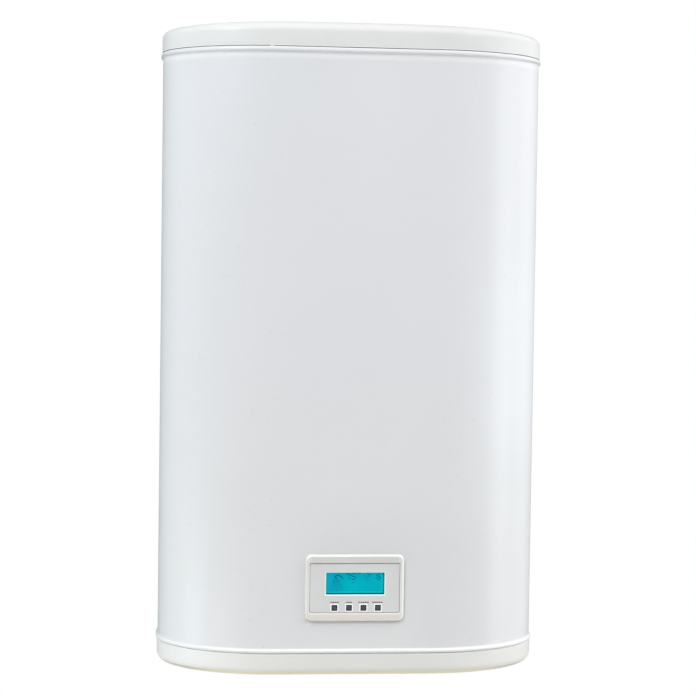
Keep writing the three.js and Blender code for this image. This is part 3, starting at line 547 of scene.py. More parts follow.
def lcd_material():
    """Backlit cyan display: brightest in the middle, with the darker unlit strip along the lower and right edges."""
    m, nt, bsdf = new_material("lcd_cyan")
    v = coords(nt)
    sep = nt.nodes.new("ShaderNodeSeparateXYZ")
    nt.links.new(v, sep.inputs[0])
    x, z = math_node(nt, "SUBTRACT", sep.outputs["X"], WIN_X / 1000), sep.outputs["Z"]
    z0 = (WIN_Z - WIN_H / 2 - LIFT) / 1000
    z1 = (WIN_Z + WIN_H / 2 - LIFT) / 1000
    half = WIN_W / 2000
    low = remap(nt, z, z0 + 0.0014, z0 + 0.0019, 1.0, 0.0, smooth=True)
    right = remap(nt, x, half - 0.0021, half - 0.0013, 0.0, 1.0, smooth=True)
    right = math_node(nt, "MULTIPLY", right, remap(nt, z, z1 - 0.0060, z1 - 0.0016, 0.66, 1.0, smooth=True))
    # painted shade under the window's top edge
    top = remap(nt, z, z1 - 0.0026, z1 - 0.0010, 0.0, 0.16, smooth=True)
    left = remap(nt, x, -half + 0.0014, -half + 0.0030, 0.24, 0.0, smooth=True)
    edge = math_node(nt, "MAXIMUM", math_node(nt, "MAXIMUM", low, right), math_node(nt, "MAXIMUM", top, left))
    drift = remap(nt, noise(nt, v, 35.0, 2.0), 0.35, 0.65, 0.0, 1.0)
    field = mix(nt, drift, linear((0, 176, 196)), linear((0, 184, 198)))
    field = mix(nt, remap(nt, x, -half + 0.014, -half + 0.032, 1.0, 0.0, smooth=True), field, linear((2, 172, 191)))
    side = remap(nt, x, -half + 0.004, -half + 0.016, 1.0, 0.0, smooth=True)
    field = mix(nt, side, field, linear((6, 171, 200)))
    field = mix(nt, remap(nt, x, -half + 0.0016, -half + 0.0036, 1.0, 0.0, smooth=True), field, linear((30, 176, 180)))
    near = math_node(nt, "MAXIMUM", remap(nt, z, z0 + 0.0022, z0 + 0.0040, 1.0, 0.0, smooth=True), remap(nt, x, half - 0.0038, half - 0.0024, 0.0, 0.6, smooth=True))
    field = mix(nt, near, field, linear((30, 196, 206)))
    colour = mix(nt, edge, field, linear((0, 94, 106)))
    dim = nt.nodes.new("ShaderNodeHueSaturation")
    dim.inputs["Value"].default_value = 0.40
    nt.links.new(colour, dim.inputs["Color"])
    nt.links.new(dim.outputs[0], bsdf.inputs["Base Color"])
    nt.links.new(colour, bsdf.inputs["Emission Color"])
    bsdf.inputs["Emission Strength"].default_value = 0.62
    bsdf.inputs["Roughness"].default_value = 0.3
    bsdf.inputs["Specular IOR Level"].default_value = 0.12
    fine = noise(nt, v, 900.0, 1.0)
    bump(nt, bsdf, fine, 0.02, 0.0001)
    return m


def ink_material(name, low, high):
    """A display segment, lit from behind like the field round it."""
    m, nt, bsdf = new_material(name)
    v = coords(nt)
    colour = mix(nt, remap(nt, noise(nt, v, 200.0, 2.0), 0.35, 0.65, 0.0, 1.0), linear(low), linear(high))
    dim = nt.nodes.new("ShaderNodeHueSaturation")
    dim.inputs["Value"].default_value = 0.40
    nt.links.new(colour, dim.inputs["Color"])
    nt.links.new(dim.outputs[0], bsdf.inputs["Base Color"])
    nt.links.new(colour, bsdf.inputs["Emission Color"])
    bsdf.inputs["Emission Strength"].default_value = 0.62
    bsdf.inputs["Roughness"].default_value = 0.4
    bsdf.inputs["Specular IOR Level"].default_value = 0.12
    bump(nt, bsdf, noise(nt, v, 900.0, 1.0), 0.02, 0.0001)
    return m


def key_material():
    """Soft dark key: lighter in the middle, darker at the rim."""
    m, nt, bsdf = new_material("soft_key")
    v = coords(nt)
    sep = nt.nodes.new("ShaderNodeSeparateXYZ")
    nt.links.new(v, sep.inputs[0])
    pitch = 0.0174
    first = KEY_X[0] / 1000
    local = math_node(nt, "PINGPONG", math_node(nt, "ADD", sep.outputs["X"], -first + pitch / 2 + 10 * pitch), pitch)
    dx = math_node(nt, "ABSOLUTE", math_node(nt, "SUBTRACT", local, pitch / 2))
    dz = math_node(nt, "ABSOLUTE", math_node(nt, "SUBTRACT", sep.outputs["Z"], (KEY_Z - LIFT) / 1000))
    rim = math_node(nt, "MAXIMUM", dx, dz)
    fac = remap(nt, rim, 0.0017, 0.0027, 0.0, 1.0, smooth=True)
    g = noise(nt, v, 1800.0, 2.0)
    centre = mix(nt, remap(nt, g, 0.35, 0.65, 0.0, 1.0), linear((72, 80, 79)), linear((86, 93, 92)))
    colour = mix(nt, fac, centre, linear((20, 26, 26)))
    nt.links.new(colour, bsdf.inputs["Base Color"])
    nt.links.new(remap(nt, g, 0.3, 0.7, 0.5, 0.65), bsdf.inputs["Roughness"])
    bump(nt, bsdf, g, 0.15, 0.0001)
    return m


def foam_material():
    m, nt, bsdf = new_material("rigid_foam")
    v = coords(nt)
    vo = nt.nodes.new("ShaderNodeTexVoronoi")
    vo.inputs["Scale"].default_value = 420.0
    nt.links.new(v, vo.inputs["Vector"])
    c = noise(nt, v, 12.0, 4.0)
    colour = mix(nt, remap(nt, c, 0.3, 0.7, 0.0, 1.0), linear((222, 205, 150)), linear((240, 228, 182)))
    nt.links.new(colour, bsdf.inputs["Base Color"])
    bsdf.inputs["Roughness"].default_value = 0.9
    bump(nt, bsdf, vo.outputs["Distance"], 0.5, 0.0006)
    return m


def board_material(name="green_board"):
    """Solder mask with faint tracks."""
    m, nt, bsdf = new_material(name)
    v = coords(nt)
    br = nt.nodes.new("ShaderNodeTexBrick")
    br.inputs["Scale"].default_value = 160.0
    br.inputs["Color1"].default_value = linear((24, 92, 58))
    br.inputs["Color2"].default_value = linear((28, 100, 63))
    br.inputs["Mortar"].default_value = linear((46, 128, 82))
    br.inputs["Mortar Size"].default_value = 0.03
    nt.links.new(v, br.inputs["Vector"])
    n = remap(nt, noise(nt, v, 60.0, 2.0), 0.45, 0.55, 0.0, 1.0)
    nt.links.new(mix(nt, n, linear((22, 88, 56)), br.outputs["Color"]), bsdf.inputs["Base Color"])
    bsdf.inputs["Roughness"].default_value = 0.35
    bump(nt, bsdf, br.outputs["Fac"], 0.15, 0.0001)
    return m


PAINT = paint_material()
# the top cap's edge just above the seam carries a painted highlight
CAP = cap_material("cap_plastic", (235, 239, 239), (239, 242, 242), lip_z=(SEAM - LIFT) / 1000)
# painted light on the base tray: warm light from below along its lower edge, and a paler left end lit from the lower
# left
CAP_LOW = cap_material(
    "cap_plastic_low",
    (236, 239, 237),
    (240, 242, 240),
    pale=(246, 249, 248),
    warm=(246, 243, 209),
    warm_z=((BASE_Z - LIFT + 2.5) / 1000, (BASE_Z - LIFT + 8.0) / 1000),
    flat_z=(BASE_Z - LIFT) / 1000,
    ends=(203, 207, 194),
)
# painted light on the bezel: lighter side faces, and a warm band along its bottom lit from below
BEZEL = cap_material("panel_plastic", (228, 231, 228), (231, 235, 231), coat=1.0, warm=(239, 238, 232), warm_z=((PANEL_Z - 31.0 - LIFT) / 1000, (PANEL_Z - 30.0 - LIFT) / 1000), rails=(0.0515, 0.0535, (241, 243, 240)))
# painted highlight: a paler, glowing plastic for the bezel's upper and right outer rounding
RIM = painted_glow(cap_material("panel_rim_highlight", (248, 250, 248), (252, 254, 252), coat=1.0), (250, 255, 250), 0.09)
# painted shade: dark greys for the bezel's downward-facing lower edge and for the gaps between bezel and faceplate,
# where shade falls
EDGE_SHADE = surface("panel_edge_shade", (112, 109, 104), (128, 125, 119), rough=(0.6, 0.75), cloud=60.0, grain=900.0, grain_strength=0.15)
GAP_SOFT = surface("panel_gap_soft_shade", (158, 160, 158), (176, 178, 175), rough=(0.6, 0.75), cloud=60.0, grain=900.0, grain_strength=0.12)
GAP_SHADE = surface("panel_gap_shade", (104, 106, 104), (122, 124, 120), rough=(0.7, 0.85), cloud=60.0, grain=900.0, grain_strength=0.15)
FACE = surface("panel_face", (225, 228, 230), (229, 232, 234), rough=(0.42, 0.52), cloud=20.0, grain=1500.0, grain_strength=0.08)
# painted glow: the window lip is tinted cyan and glows with the display's light, and the key collars glow white
LIP = painted_glow(surface("window_lip", (196, 238, 242), (208, 244, 247), rough=(0.2, 0.28), cloud=30.0, grain=900.0, grain_strength=0.02), (190, 236, 240), 0.22)
COLLAR = painted_glow(surface("key_collar", (246, 250, 248), (251, 253, 251), rough=(0.25, 0.32), cloud=30.0, grain=900.0, grain_strength=0.02), (250, 255, 252), 0.25)
KEYS = key_material()
LCD = lcd_material()
INK = ink_material("lcd_ink", (0, 84, 130), (0, 92, 138))
INK_SOFT = ink_material("lcd_ink_soft", (4, 150, 184), (6, 156, 188))
INK_FAINT = ink_material("lcd_ink_faint", (0, 138, 172), (2, 144, 178))
PRINT = surface("grey_print", (96, 98, 100), (116, 116, 118), rough=(0.5, 0.6), cloud=300.0, grain=1500.0, grain_strength=0.05)
ZINC = surface("zinc_plate", (168, 172, 176), (196, 198, 200), rough=(0.28, 0.42), metal=1.0, cloud=90.0, grain=500.0, grain_strength=0.1)
THREAD = surface("zinc_thread", (160, 163, 165), (190, 192, 192), rough=(0.3, 0.45), metal=1.0, cloud=120.0, grain=900.0, grain_strength=0.12)
STRIP = surface("bracket_paint", (224, 227, 228), (231, 233, 233), rough=(0.42, 0.55), cloud=12.0, grain=500.0, grain_strength=0.1)
STAINLESS = brushed("stainless", (188, 190, 193), (206, 208, 210), axis="z")
STAINLESS_X = brushed("stainless_across", (188, 190, 193), (206, 208, 210), axis="x")
BRASS = brushed("machined_brass", (181, 150, 84), (203, 172, 104), axis="z", rough=(0.25, 0.4))
COPPER = brushed("copper_sheath", (150, 98, 68), (184, 122, 86), axis="z", rough=(0.3, 0.5))
RUBBER = surface("gasket_rubber", (20, 20, 21), (34, 34, 35), rough=(0.7, 0.85), cloud=60.0, grain=900.0, grain_strength=0.2)
BLUE = surface("blue_ring", (22, 92, 178), (30, 104, 192), rough=(0.25, 0.35), cloud=60.0, grain=900.0, grain_strength=0.04)
RED = surface("red_ring", (188, 34, 38), (202, 44, 46), rough=(0.25, 0.35), cloud=60.0, grain=900.0, grain_strength=0.04)
FOAM = foam_material()
ANODE = surface("cast_magnesium", (132, 134, 137), (156, 158, 160), rough=(0.5, 0.7), metal=0.8, cloud=60.0, grain=400.0, grain_strength=0.35)
BLACK = surface("black_moulding", (30, 31, 33), (44, 45, 48), rough=(0.4, 0.55), cloud=40.0, grain=900.0, grain_strength=0.12)
RELAY = surface("blue_moulding", (28, 92, 164), (38, 104, 178), rough=(0.25, 0.35), cloud=60.0, grain=900.0, grain_strength=0.05)
NYLON = surface("natural_nylon", (228, 228, 220), (238, 237, 230), rough=(0.4, 0.52), cloud=30.0, grain=800.0, grain_strength=0.08)
BOARD = board_material()
GUIDE = surface("light_guide", (240, 244, 244), (248, 250, 250), rough=(0.4, 0.5), cloud=40.0, grain=600.0, grain_strength=0.05)
FLAT_CABLE = surface("flat_cable", (160, 164, 168), (176, 180, 184), rough=(0.4, 0.5), cloud=60.0, grain=260.0, grain_strength=0.4, stretch=(1, 0.02, 0.02))


def seam_material(name, x_full, x_none, low, high, side_tone):
    """Painted shade in a seam: darkest in the middle of the front, lighter towards both sides."""
    m, nt, bsdf = new_material(name)
    v = coords(nt)
    sep = nt.nodes.new("ShaderNodeSeparateXYZ")
    nt.links.new(v, sep.inputs[0])
    shade_tone = mix(nt, remap(nt, noise(nt, v, 60.0, 3.0), 0.35, 0.65, 0.0, 1.0), linear(low), linear(high))
    left = remap(nt, sep.outputs["X"], x_none[0], x_full[0], 1.0, 0.0, smooth=True)
    right = remap(nt, sep.outputs["X"], x_full[1], x_none[1], 0.0, 1.0, smooth=True)
    nt.links.new(mix(nt, math_node(nt, "MAXIMUM", left, right), shade_tone, linear(side_tone)), bsdf.inputs["Base Color"])
    g = noise(nt, v, 700.0, 2.0)
    nt.links.new(remap(nt, g, 0.3, 0.7, 0.75, 0.9), bsdf.inputs["Roughness"])
    bump(nt, bsdf, g, 0.2, 0.0002)
    return m


# painted shade in the seams between the casing and the caps, darker in the upper seam
SEAM_HIGH = seam_material("seam_shade_high", (-0.02, 0.13), (-0.17, 0.22), (66, 68, 67), (88, 89, 86), (150, 156, 154))
SEAM_LOW = seam_material("seam_shade_low", (-0.06, 0.08), (-0.17, 0.17), (150, 152, 150), (172, 172, 168), (242, 244, 243))


def inset_of(x, y):
    """How far inside the plan outline a point lies, along the straight of the outline's nearest side."""
    dx, dy = max(abs(x) - HX, 0.0), max(abs(y - MID_Y) - HY, 0.0)
    if dx < 1e-6:
        return CY - dy
    if dy < 1e-6:
        return CX - dx
    low, high = 0.0, 30.0
    for _ in range(30):
        t = (low + high) / 2
        if (dx / (CX - t)) ** 2 + (dy / (CY - t)) ** 2 > 1:
            high = t
        else:
            low = t
    return t


def darken_gap(obj, t_low, t_high, z_reach=0.7):
    """Gives the second material to the faces deep in the two seams, as painted shade."""
    for p in obj.data.polygons:
        c = p.center * 1000
        if abs(abs(c.z + LIFT) - SEAM) < z_reach and t_low < inset_of(c.x, c.y) < t_high:
            p.material_index = 1 if c.z + LIFT > 0 or len(obj.data.materials) < 3 else 2


# ------------------------------------------------------------------ casing
def make_casing():
    bead = [(3.3, 0.0), (2.15, 0.0), (1.72, 0.14), (1.22, 0.5), (0.78, 0.98), (0.42, 1.6), (0.17, 2.3), (0.04, 3.0), (0.0, 3.7), (0.04, 4.3),
            (0.22, 4.85), (0.6, 5.35), (1.12, 5.75), (1.65, 6.1), (2.04, 6.45), (2.24, 6.9)]
    bead_low = [(3.3, 0.0), (2.15, 0.0), (1.72, 0.14), (1.2, 0.5), (0.75, 0.95), (0.38, 1.45), (0.12, 2.0), (0.0, 2.6), (0.04, 3.2), (0.24, 3.75),
                (0.62, 4.25), (1.12, 4.7), (1.62, 5.1), (2.0, 5.55), (2.16, 5.95), (2.24, 6.5)]
    hole_low, hole_high = -316.9, -244.7
    body_z = [-350.6, hole_low, -300.0, -281.0, -262.0, hole_high] + list(np.linspace(-205, 350.6, 17))
    rows = [(t, -SEAM + d) for t, d in bead_low]
    rows += [(2.3, z) for z in body_z]
    rows += [(t, SEAM - d) for t, d in bead[::-1]]
    inner = [(3.3, z) for z in body_z[::-1]]
    allrows = rows + inner
    rings = [ring_at(t, z) for t, z in allrows]
    n = len(rings[0])
    verts = np.concatenate(rings)
    loop = outline(0.0)
    front = np.where(np.abs(loop[:, 1] - loop[:, 1].min()) < 1e-6)[0]
    cols = [i for i in front if -54.7 < loop[i, 0] < 54.7]
    c0, c1 = min(cols), max(cols)
    m = len(allrows)

    def row_index(t, z):
        return next(k for k, r in enumerate(allrows) if abs(r[0] - t) < 1e-6 and abs(r[1] - z) < 1e-6)

    o_low, o_high = row_index(2.3, hole_low), row_index(2.3, hole_high)
    i_high, i_low = row_index(3.3, hole_high), row_index(3.3, hole_low)
    faces = []
    for k in range(m):
        a, b = k * n, ((k + 1) % m) * n
        skip_row = o_low <= k < o_high or i_high <= k < i_low
        for i in range(n):
            j = (i + 1) % n
            if skip_row and c0 <= i < c1:
                continue
            faces.append((a + i, a + j, b + j, b + i))
    steps = o_high - o_low
    for s in range(steps):
        for c in (c0, c1):
            faces.append(((o_low + s) * n + c, (o_low + s + 1) * n + c, (i_low - s - 1) * n + c, (i_low - s) * n + c))
    for o, i in ((o_low, i_low), (o_high, i_high)):
        for c in range(c0, c1):
            faces.append((o * n + c, o * n + c + 1, i * n + c + 1, i * n + c))
    obj = mesh_object("casing", verts, faces, [PAINT, SEAM_HIGH, SEAM_LOW], angle=50)
    darken_gap(obj, 2.1, 3.35)
    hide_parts("outer_casing")

    # folded seam down the back: a flat fold with soft edges, pinched at both ends
    xs = np.array([-30.0, -29.2, -27.6, -22.4, -20.8, -20.0])
    out = np.array([0.0, 0.62, 0.85, 0.85, 0.62, 0.0])
    zs = np.concatenate([[-349.0, -347.0, -344.0], np.linspace(-330, 330, 12), [344.0, 347.0, 349.0]])
    v = []
    for z in zs:
        f = min(1.0, (349.2 - abs(z)) / 5.0)
        for x, o in zip(xs, out):
            v.append((x, BACK - 0.02 + max(0.02, o * f), z))
    base = len(v)
    for z in zs:
        for x in xs:
            v.append((x, BACK - 0.5, z))
    w, h = len(xs), len(zs)
    f = []
    for r in range(h - 1):
        for c in range(w - 1):
            a = r * w + c
            f.append((a, a + 1, a + w + 1, a + w))
            a += base
            f.append((a, a + w, a + w + 1, a + 1))
    for r in range(h - 1):
        for c in (0, w - 1):
            a = r * w + c
            f.append((a, a + w, base + a + w, base + a))
    for c in range(w - 1):
        for r in (0, h - 1):
            a = r * w + c
            f.append((a, base + a, base + a + 1, a + 1))
    mesh_object("casing_back_fold", v, f, PAINT, angle=40)
    return obj


# ------------------------------------------------------------------ caps
def cap_rows(seam, base, high, wide, draft, sign, gap):
    """Outer rows of a cap from the skirt's inner edge to the end of its rounding, with each row's share of the dome."""
    s = seam + sign * gap
    rows = [(6.0, seam - sign * 14.0), (3.6, seam - sign * 14.0), (3.6, s - sign * 1.2), (3.6, s)]
    rows += [(1.62, s), (1.4, s + sign * 0.05), (1.26, s + sign * 0.18), (1.21, s + sign * 0.38), (1.2, s + sign * 0.7), (1.2, s + sign * 3.0)]
    side_end = base - sign * high
    rows += [(1.2 + draft * 0.5, (s + side_end) / 2), (1.2 + draft, side_end)]
    rows = [(t, z, 0.0) for t, z in rows]
    for i in range(1, 13):
        a = math.radians(90 * i / 12)
        rows.append((1.2 + draft + wide * (1 - math.cos(a)), side_end + sign * high * math.sin(a), math.sin(a)))
    return rows


def crown_of(x):
    """How far the domed top has fallen at x."""
    return CROWN * (x / (WIDTH / 2)) ** 2


def domed_ring(t, z, share, s=1.0):
    ring = scaled_ring(t, s, z)
    ring[:, 2] -= share * crown_of(ring[:, 0])
    return ring


def make_top_cap():
    rows = cap_rows(SEAM, TOP_Z, 12.5, 11.8, 0.15, 1, 0.55)
    rings = [domed_ring(t, z, share) for t, z, share in rows]
    t_end = rows[-1][0]
    for s in (0.96, 0.9, 0.8, 0.68, 0.55, 0.42, 0.28, 0.14):
        rings.append(domed_ring(t_end, TOP_Z, 1.0, s))
    outer = strips(rings, cap_last=True)
    rings = [ring_at(6.0, SEAM - 14.0), ring_at(6.0, TOP_Z - 13.1)]
    for i in range(1, 7):
        a = math.radians(90 * i / 6)
        rings.append(domed_ring(6.0 + 10.0 * (1 - math.cos(a)), TOP_Z - 13.1 + 10.5 * math.sin(a), math.sin(a)))
    rings += [domed_ring(16.0, TOP_Z - 2.6, 1.0, s) for s in (0.85, 0.6, 0.3)]
    inner = strips(rings, cap_last=True)
    v, f = join([outer, inner])
    obj = mesh_object("top_lid", v, f, [CAP, SEAM_HIGH], angle=40)
    darken_gap(obj, 1.61, 3.7, 1.3)
    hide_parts("top_cap")
    # moulding nib that bridges the seam gap on the front left
    loop = rounded(-106.0, 360.3, 5.2, 0.9, 0.35, n=3, along=2)
    y_at = MID_Y - HY - (CY - 1.6) * math.sqrt(1 - ((106.0 - HX) / (CX - 1.6)) ** 2)
    vv, ff = strips([upright(loop, y_at + 1.6), upright(loop, y_at - 0.1), upright(rounded(-106.0, 360.3, 4.6, 0.6, 0.25, n=3, along=2), y_at - 0.35)],
                    cap_first=True, cap_last=True)
    mesh_object("top_lid_nib", vv, ff, CAP, angle=40)


SCREWS = [(sx * 161.5, -172.0 + sy * 47.5) for sy in (-1, 1) for sx in (-1, 1)]
SCREW_NAMES = ["cover_screw_front_left", "cover_screw_front_right", "cover_screw_rear_left", "cover_screw_rear_right"]


def make_bottom_cap():
    rows = cap_rows(-SEAM, BASE_Z, 10.5, 10.3, 0.2, -1, 0.4)
    rings = [ring_at(t, z) for t, z, _ in rows]
    t_end = rows[-1][0]
    rings += [scaled_ring(t_end, s, BASE_Z) for s in (0.97, 0.6, 0.3)]
    outer = strips(rings, cap_last=True)
    inner_rows = [(6.0, -SEAM + 14.0), (6.0, BASE_Z + 7.0), (7.2, BASE_Z + 4.6), (10.0, BASE_Z + 3.0)]
    irings = [ring_at(t, z) for t, z in inner_rows] + [scaled_ring(10.0, s, BASE_Z + 3.0) for s in (0.97, 0.6, 0.3)]
    inner = strips(irings, cap_last=True)
    v, f = join([outer, inner])
    obj = mesh_object("base_tray", v, f, [CAP_LOW, SEAM_LOW], angle=40)
    darken_gap(obj, 1.61, 3.7, 1.3)
    opening = rounded(0, -172, 336, 108, 12, n=8, along=8)
    cutters = [
        cutter(prism(lying(opening, BASE_Z - 4), lying(opening, BASE_Z + 5))),
        cutter(rod_z(PIPE_X, PIPE_Y, 14.9, BASE_Z - 4, BASE_Z + 6, 64)),
        cutter(rod_z(-PIPE_X, PIPE_Y, 14.9, BASE_Z - 4, BASE_Z + 6, 64)),
        cutter(rod_z(GLAND_X, GLAND_Y, 8.3, BASE_Z - 4, BASE_Z + 6, 48)),
    ]
    cut(obj, cutters, angle=35)
    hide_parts("bottom_cap")
    # ledge that the service cover sits on, with its four screw posts
    outer_l, inner_l = rounded(0, -172, 348, 120, 18, n=8, along=8), rounded(0, -172, 324, 96, 8, n=8, along=8)
    v, f = strips([lying(outer_l, BASE_Z + 3.0), lying(outer_l, BASE_Z + 5.3), lying(inner_l, BASE_Z + 5.3), lying(inner_l, BASE_Z + 2.8),
                   lying(outer_l * 0.0 + rounded(0, -172, 335.9, 107.9, 12, n=8, along=8), BASE_Z + 2.8)], closed_loop=True)
    ledge = [(v, f)]
    for x, y in SCREWS:
        ledge.append(turned([(1.7, BASE_Z + 2.8), (5.0, BASE_Z + 2.8), (5.0, BASE_Z + 13.6), (4.6, BASE_Z + 14.0), (1.7, BASE_Z + 14.0)], x, y, 24))
    v, f = join(ledge)
    mesh_object("base_tray_ledge", v, f, CAP_LOW, angle=35)
    # raised collars moulded round the two pipe holes
    for x in (-PIPE_X, PIPE_X):
        v, f = turned([(18.4, BASE_Z + 0.2), (22.0, BASE_Z + 0.2), (21.9, BASE_Z - 0.5), (21.4, BASE_Z - 0.9), (19.0, BASE_Z - 0.9), (18.5, BASE_Z - 0.5)], x, PIPE_Y, 64)
        mesh_object("base_collar", v, f, CAP_LOW, angle=40)


def make_cover():
    w, h, cy = 335.0, 107.0, -172.0

    def loop(inset, r):
        return rounded(0, cy, w - 2 * inset, h - 2 * inset, r, n=10, along=10)

    z0, z1 = BASE_Z, BASE_Z + 2.4
    rings = [lying(loop(0.0, 11.5), z1), lying(loop(0.0, 11.5), z0 + 0.45), lying(loop(0.12, 11.4), z0 + 0.15), lying(loop(0.45, 11.2), z0),
             lying(loop(15.0, 8.0), z0), lying(loop(15.35, 7.8), z0 - 0.12), lying(loop(15.6, 7.6), z0 - 0.5), lying(loop(16.0, 7.3), z0 - 0.7),
             lying(loop(24.0, 5.0), z0 - 0.7), lying(loop(24.5, 4.8), z0 - 0.4), lying(loop(25.2, 4.5), z0 - 0.4), lying(loop(25.7, 4.2), z0 - 0.7),
             lying(loop(40.0, 3.0), z0 - 0.7)]
    v, f = strips(rings, cap_first=True, cap_last=True)
    obj = mesh_object("service_lid", v, f, CAP, angle=35)
    cut(obj, [cutter(rod_z(x, y, 2.0, z0 - 2, z1 + 2, 24)) for x, y in SCREWS], angle=35)
    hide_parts("service_cover")


def make_cover_screws():
    for name, (x, y) in zip(SCREW_NAMES, SCREWS):
        shank = []
        z = BASE_Z - 0.3
        prof = [(0.0, BASE_Z - 2.3), (1.3, BASE_Z - 2.25), (2.3, BASE_Z - 2.05), (3.0, BASE_Z - 1.6), (3.45, BASE_Z - 1.0), (3.6, BASE_Z - 0.45), (3.55, z), (1.4, z)]
        depth = 11.0
        for i in range(18):
            zz = z + 0.6 + depth * i / 18
            prof += [(1.4, zz), (1.12, zz + 0.3)]
        prof += [(1.3, z + depth + 0.8), (0.6, z + depth + 1.6), (0.0, z + depth + 2.0)]
        v, f = turned(prof, x, y, 32)
        obj = mesh_object(name + "_piece", v, f, ZINC, angle=35)
        cross = [cutter(block(x - 1.7, x + 1.7, y - 0.38, y + 0.38, BASE_Z - 3, BASE_Z - 1.2)),
                 cutter(block(x - 0.38, x + 0.38, y - 1.7, y + 1.7, BASE_Z - 3, BASE_Z - 1.2))]
        cut(obj, cross, angle=35)
        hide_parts(name)


# ------------------------------------------------------------------ display panel
def make_bezel():
    def out(inset):
        return rounded(0, PANEL_Z, PANEL_W - 2 * inset, PANEL_H - 2 * inset, max(7.5 - inset, 3.5), n=10, along=12)

    def inn(grow):
        r = (2.2 + grow, 0.9 + grow, 0.9 + grow, 2.2 + grow)
        return rounded(0, FRAME_Z, FRAME_W + 2 * grow, FRAME_H + 2 * grow, r, n=10, along=12)

    back, front = FRONT - 0.3, BEZEL_FRONT
    z_low, z_high = FRAME_Z - FRAME_H / 2, FRAME_Z + FRAME_H / 2

    def outer(inset):
        """The outline inset, but by less than half as much along the lower edge, which is moulded sharper."""
        loose, tight = out(inset), out(inset * 0.42)
        w = np.clip((PANEL_Z - PANEL_H / 2 + 6.0 - loose[:, 1]) / 6.0, 0.0, 1.0)[:, None]
        w = w * w * (3 - 2 * w)
        return loose * (1 - w) + tight * w

    def inner(grow):
        """The inner opening grown, but by less along its upper edge."""
        loose, tight = inn(grow), inn(grow * 0.3)
        w = np.clip((loose[:, 1] - z_high + 3.0) / 3.0, 0.0, 1.0)[:, None]
        return loose * (1 - w) + tight * w

    rings = [upright(out(0.15), back), upright(out(0.0), back - 0.35), upright(out(0.0), front + 2.6)]
    for i in range(1, 11):
        a = math.radians(90 * i / 10)
        rings.append(upright(outer(3.0 - 3.0 * math.cos(a)), front + 2.6 - 2.6 * math.sin(a)))
    rings += [upright(inner(1.5), front), upright(inner(1.3), front + 0.04), upright(inner(1.0), front + 0.16), upright(inner(0.3), front + 0.75),
              upright(inner(0.08), front + 0.98), upright(inner(0.0), front + 1.5)]
    rings += [upright(out(1.6), front + 1.5), upright(out(1.6), back)]
    v, f = strips(rings, closed_loop=True)
    obj = mesh_object("bezel", v, f, [BEZEL, RIM, EDGE_SHADE, GAP_SHADE, GAP_SOFT], angle=38)
    # painted shade on the downward-facing top inner wall and on the walls deep in the opening, a painted highlight on
    # the upper and right outer rounding, and painted shade on the downward-facing lower outer edge
    for p in obj.data.polygons:
        c, nrm = p.center * 1000, p.normal
        z = c.z + LIFT
        inside = abs(c.x) < FRAME_W / 2 + 1.6 and z_low - 1.6 < z < z_high + 1.6
        if inside and nrm.z < -0.5 and z > z_high - 0.3 and c.y > front + 0.3:
            p.material_index = 3
        elif inside and c.y > front + 0.8:
            p.material_index = 4
        elif not inside and c.y < front + 2.7 and nrm.z > -0.3 and -0.994 < nrm.y < -0.58 and (nrm.x > 0.05 or nrm.z > 0.1):
            p.material_index = 1
        elif not inside and nrm.z < -0.55 and c.y > front + 1.1:
            p.material_index = 2
    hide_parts("panel_bezel")


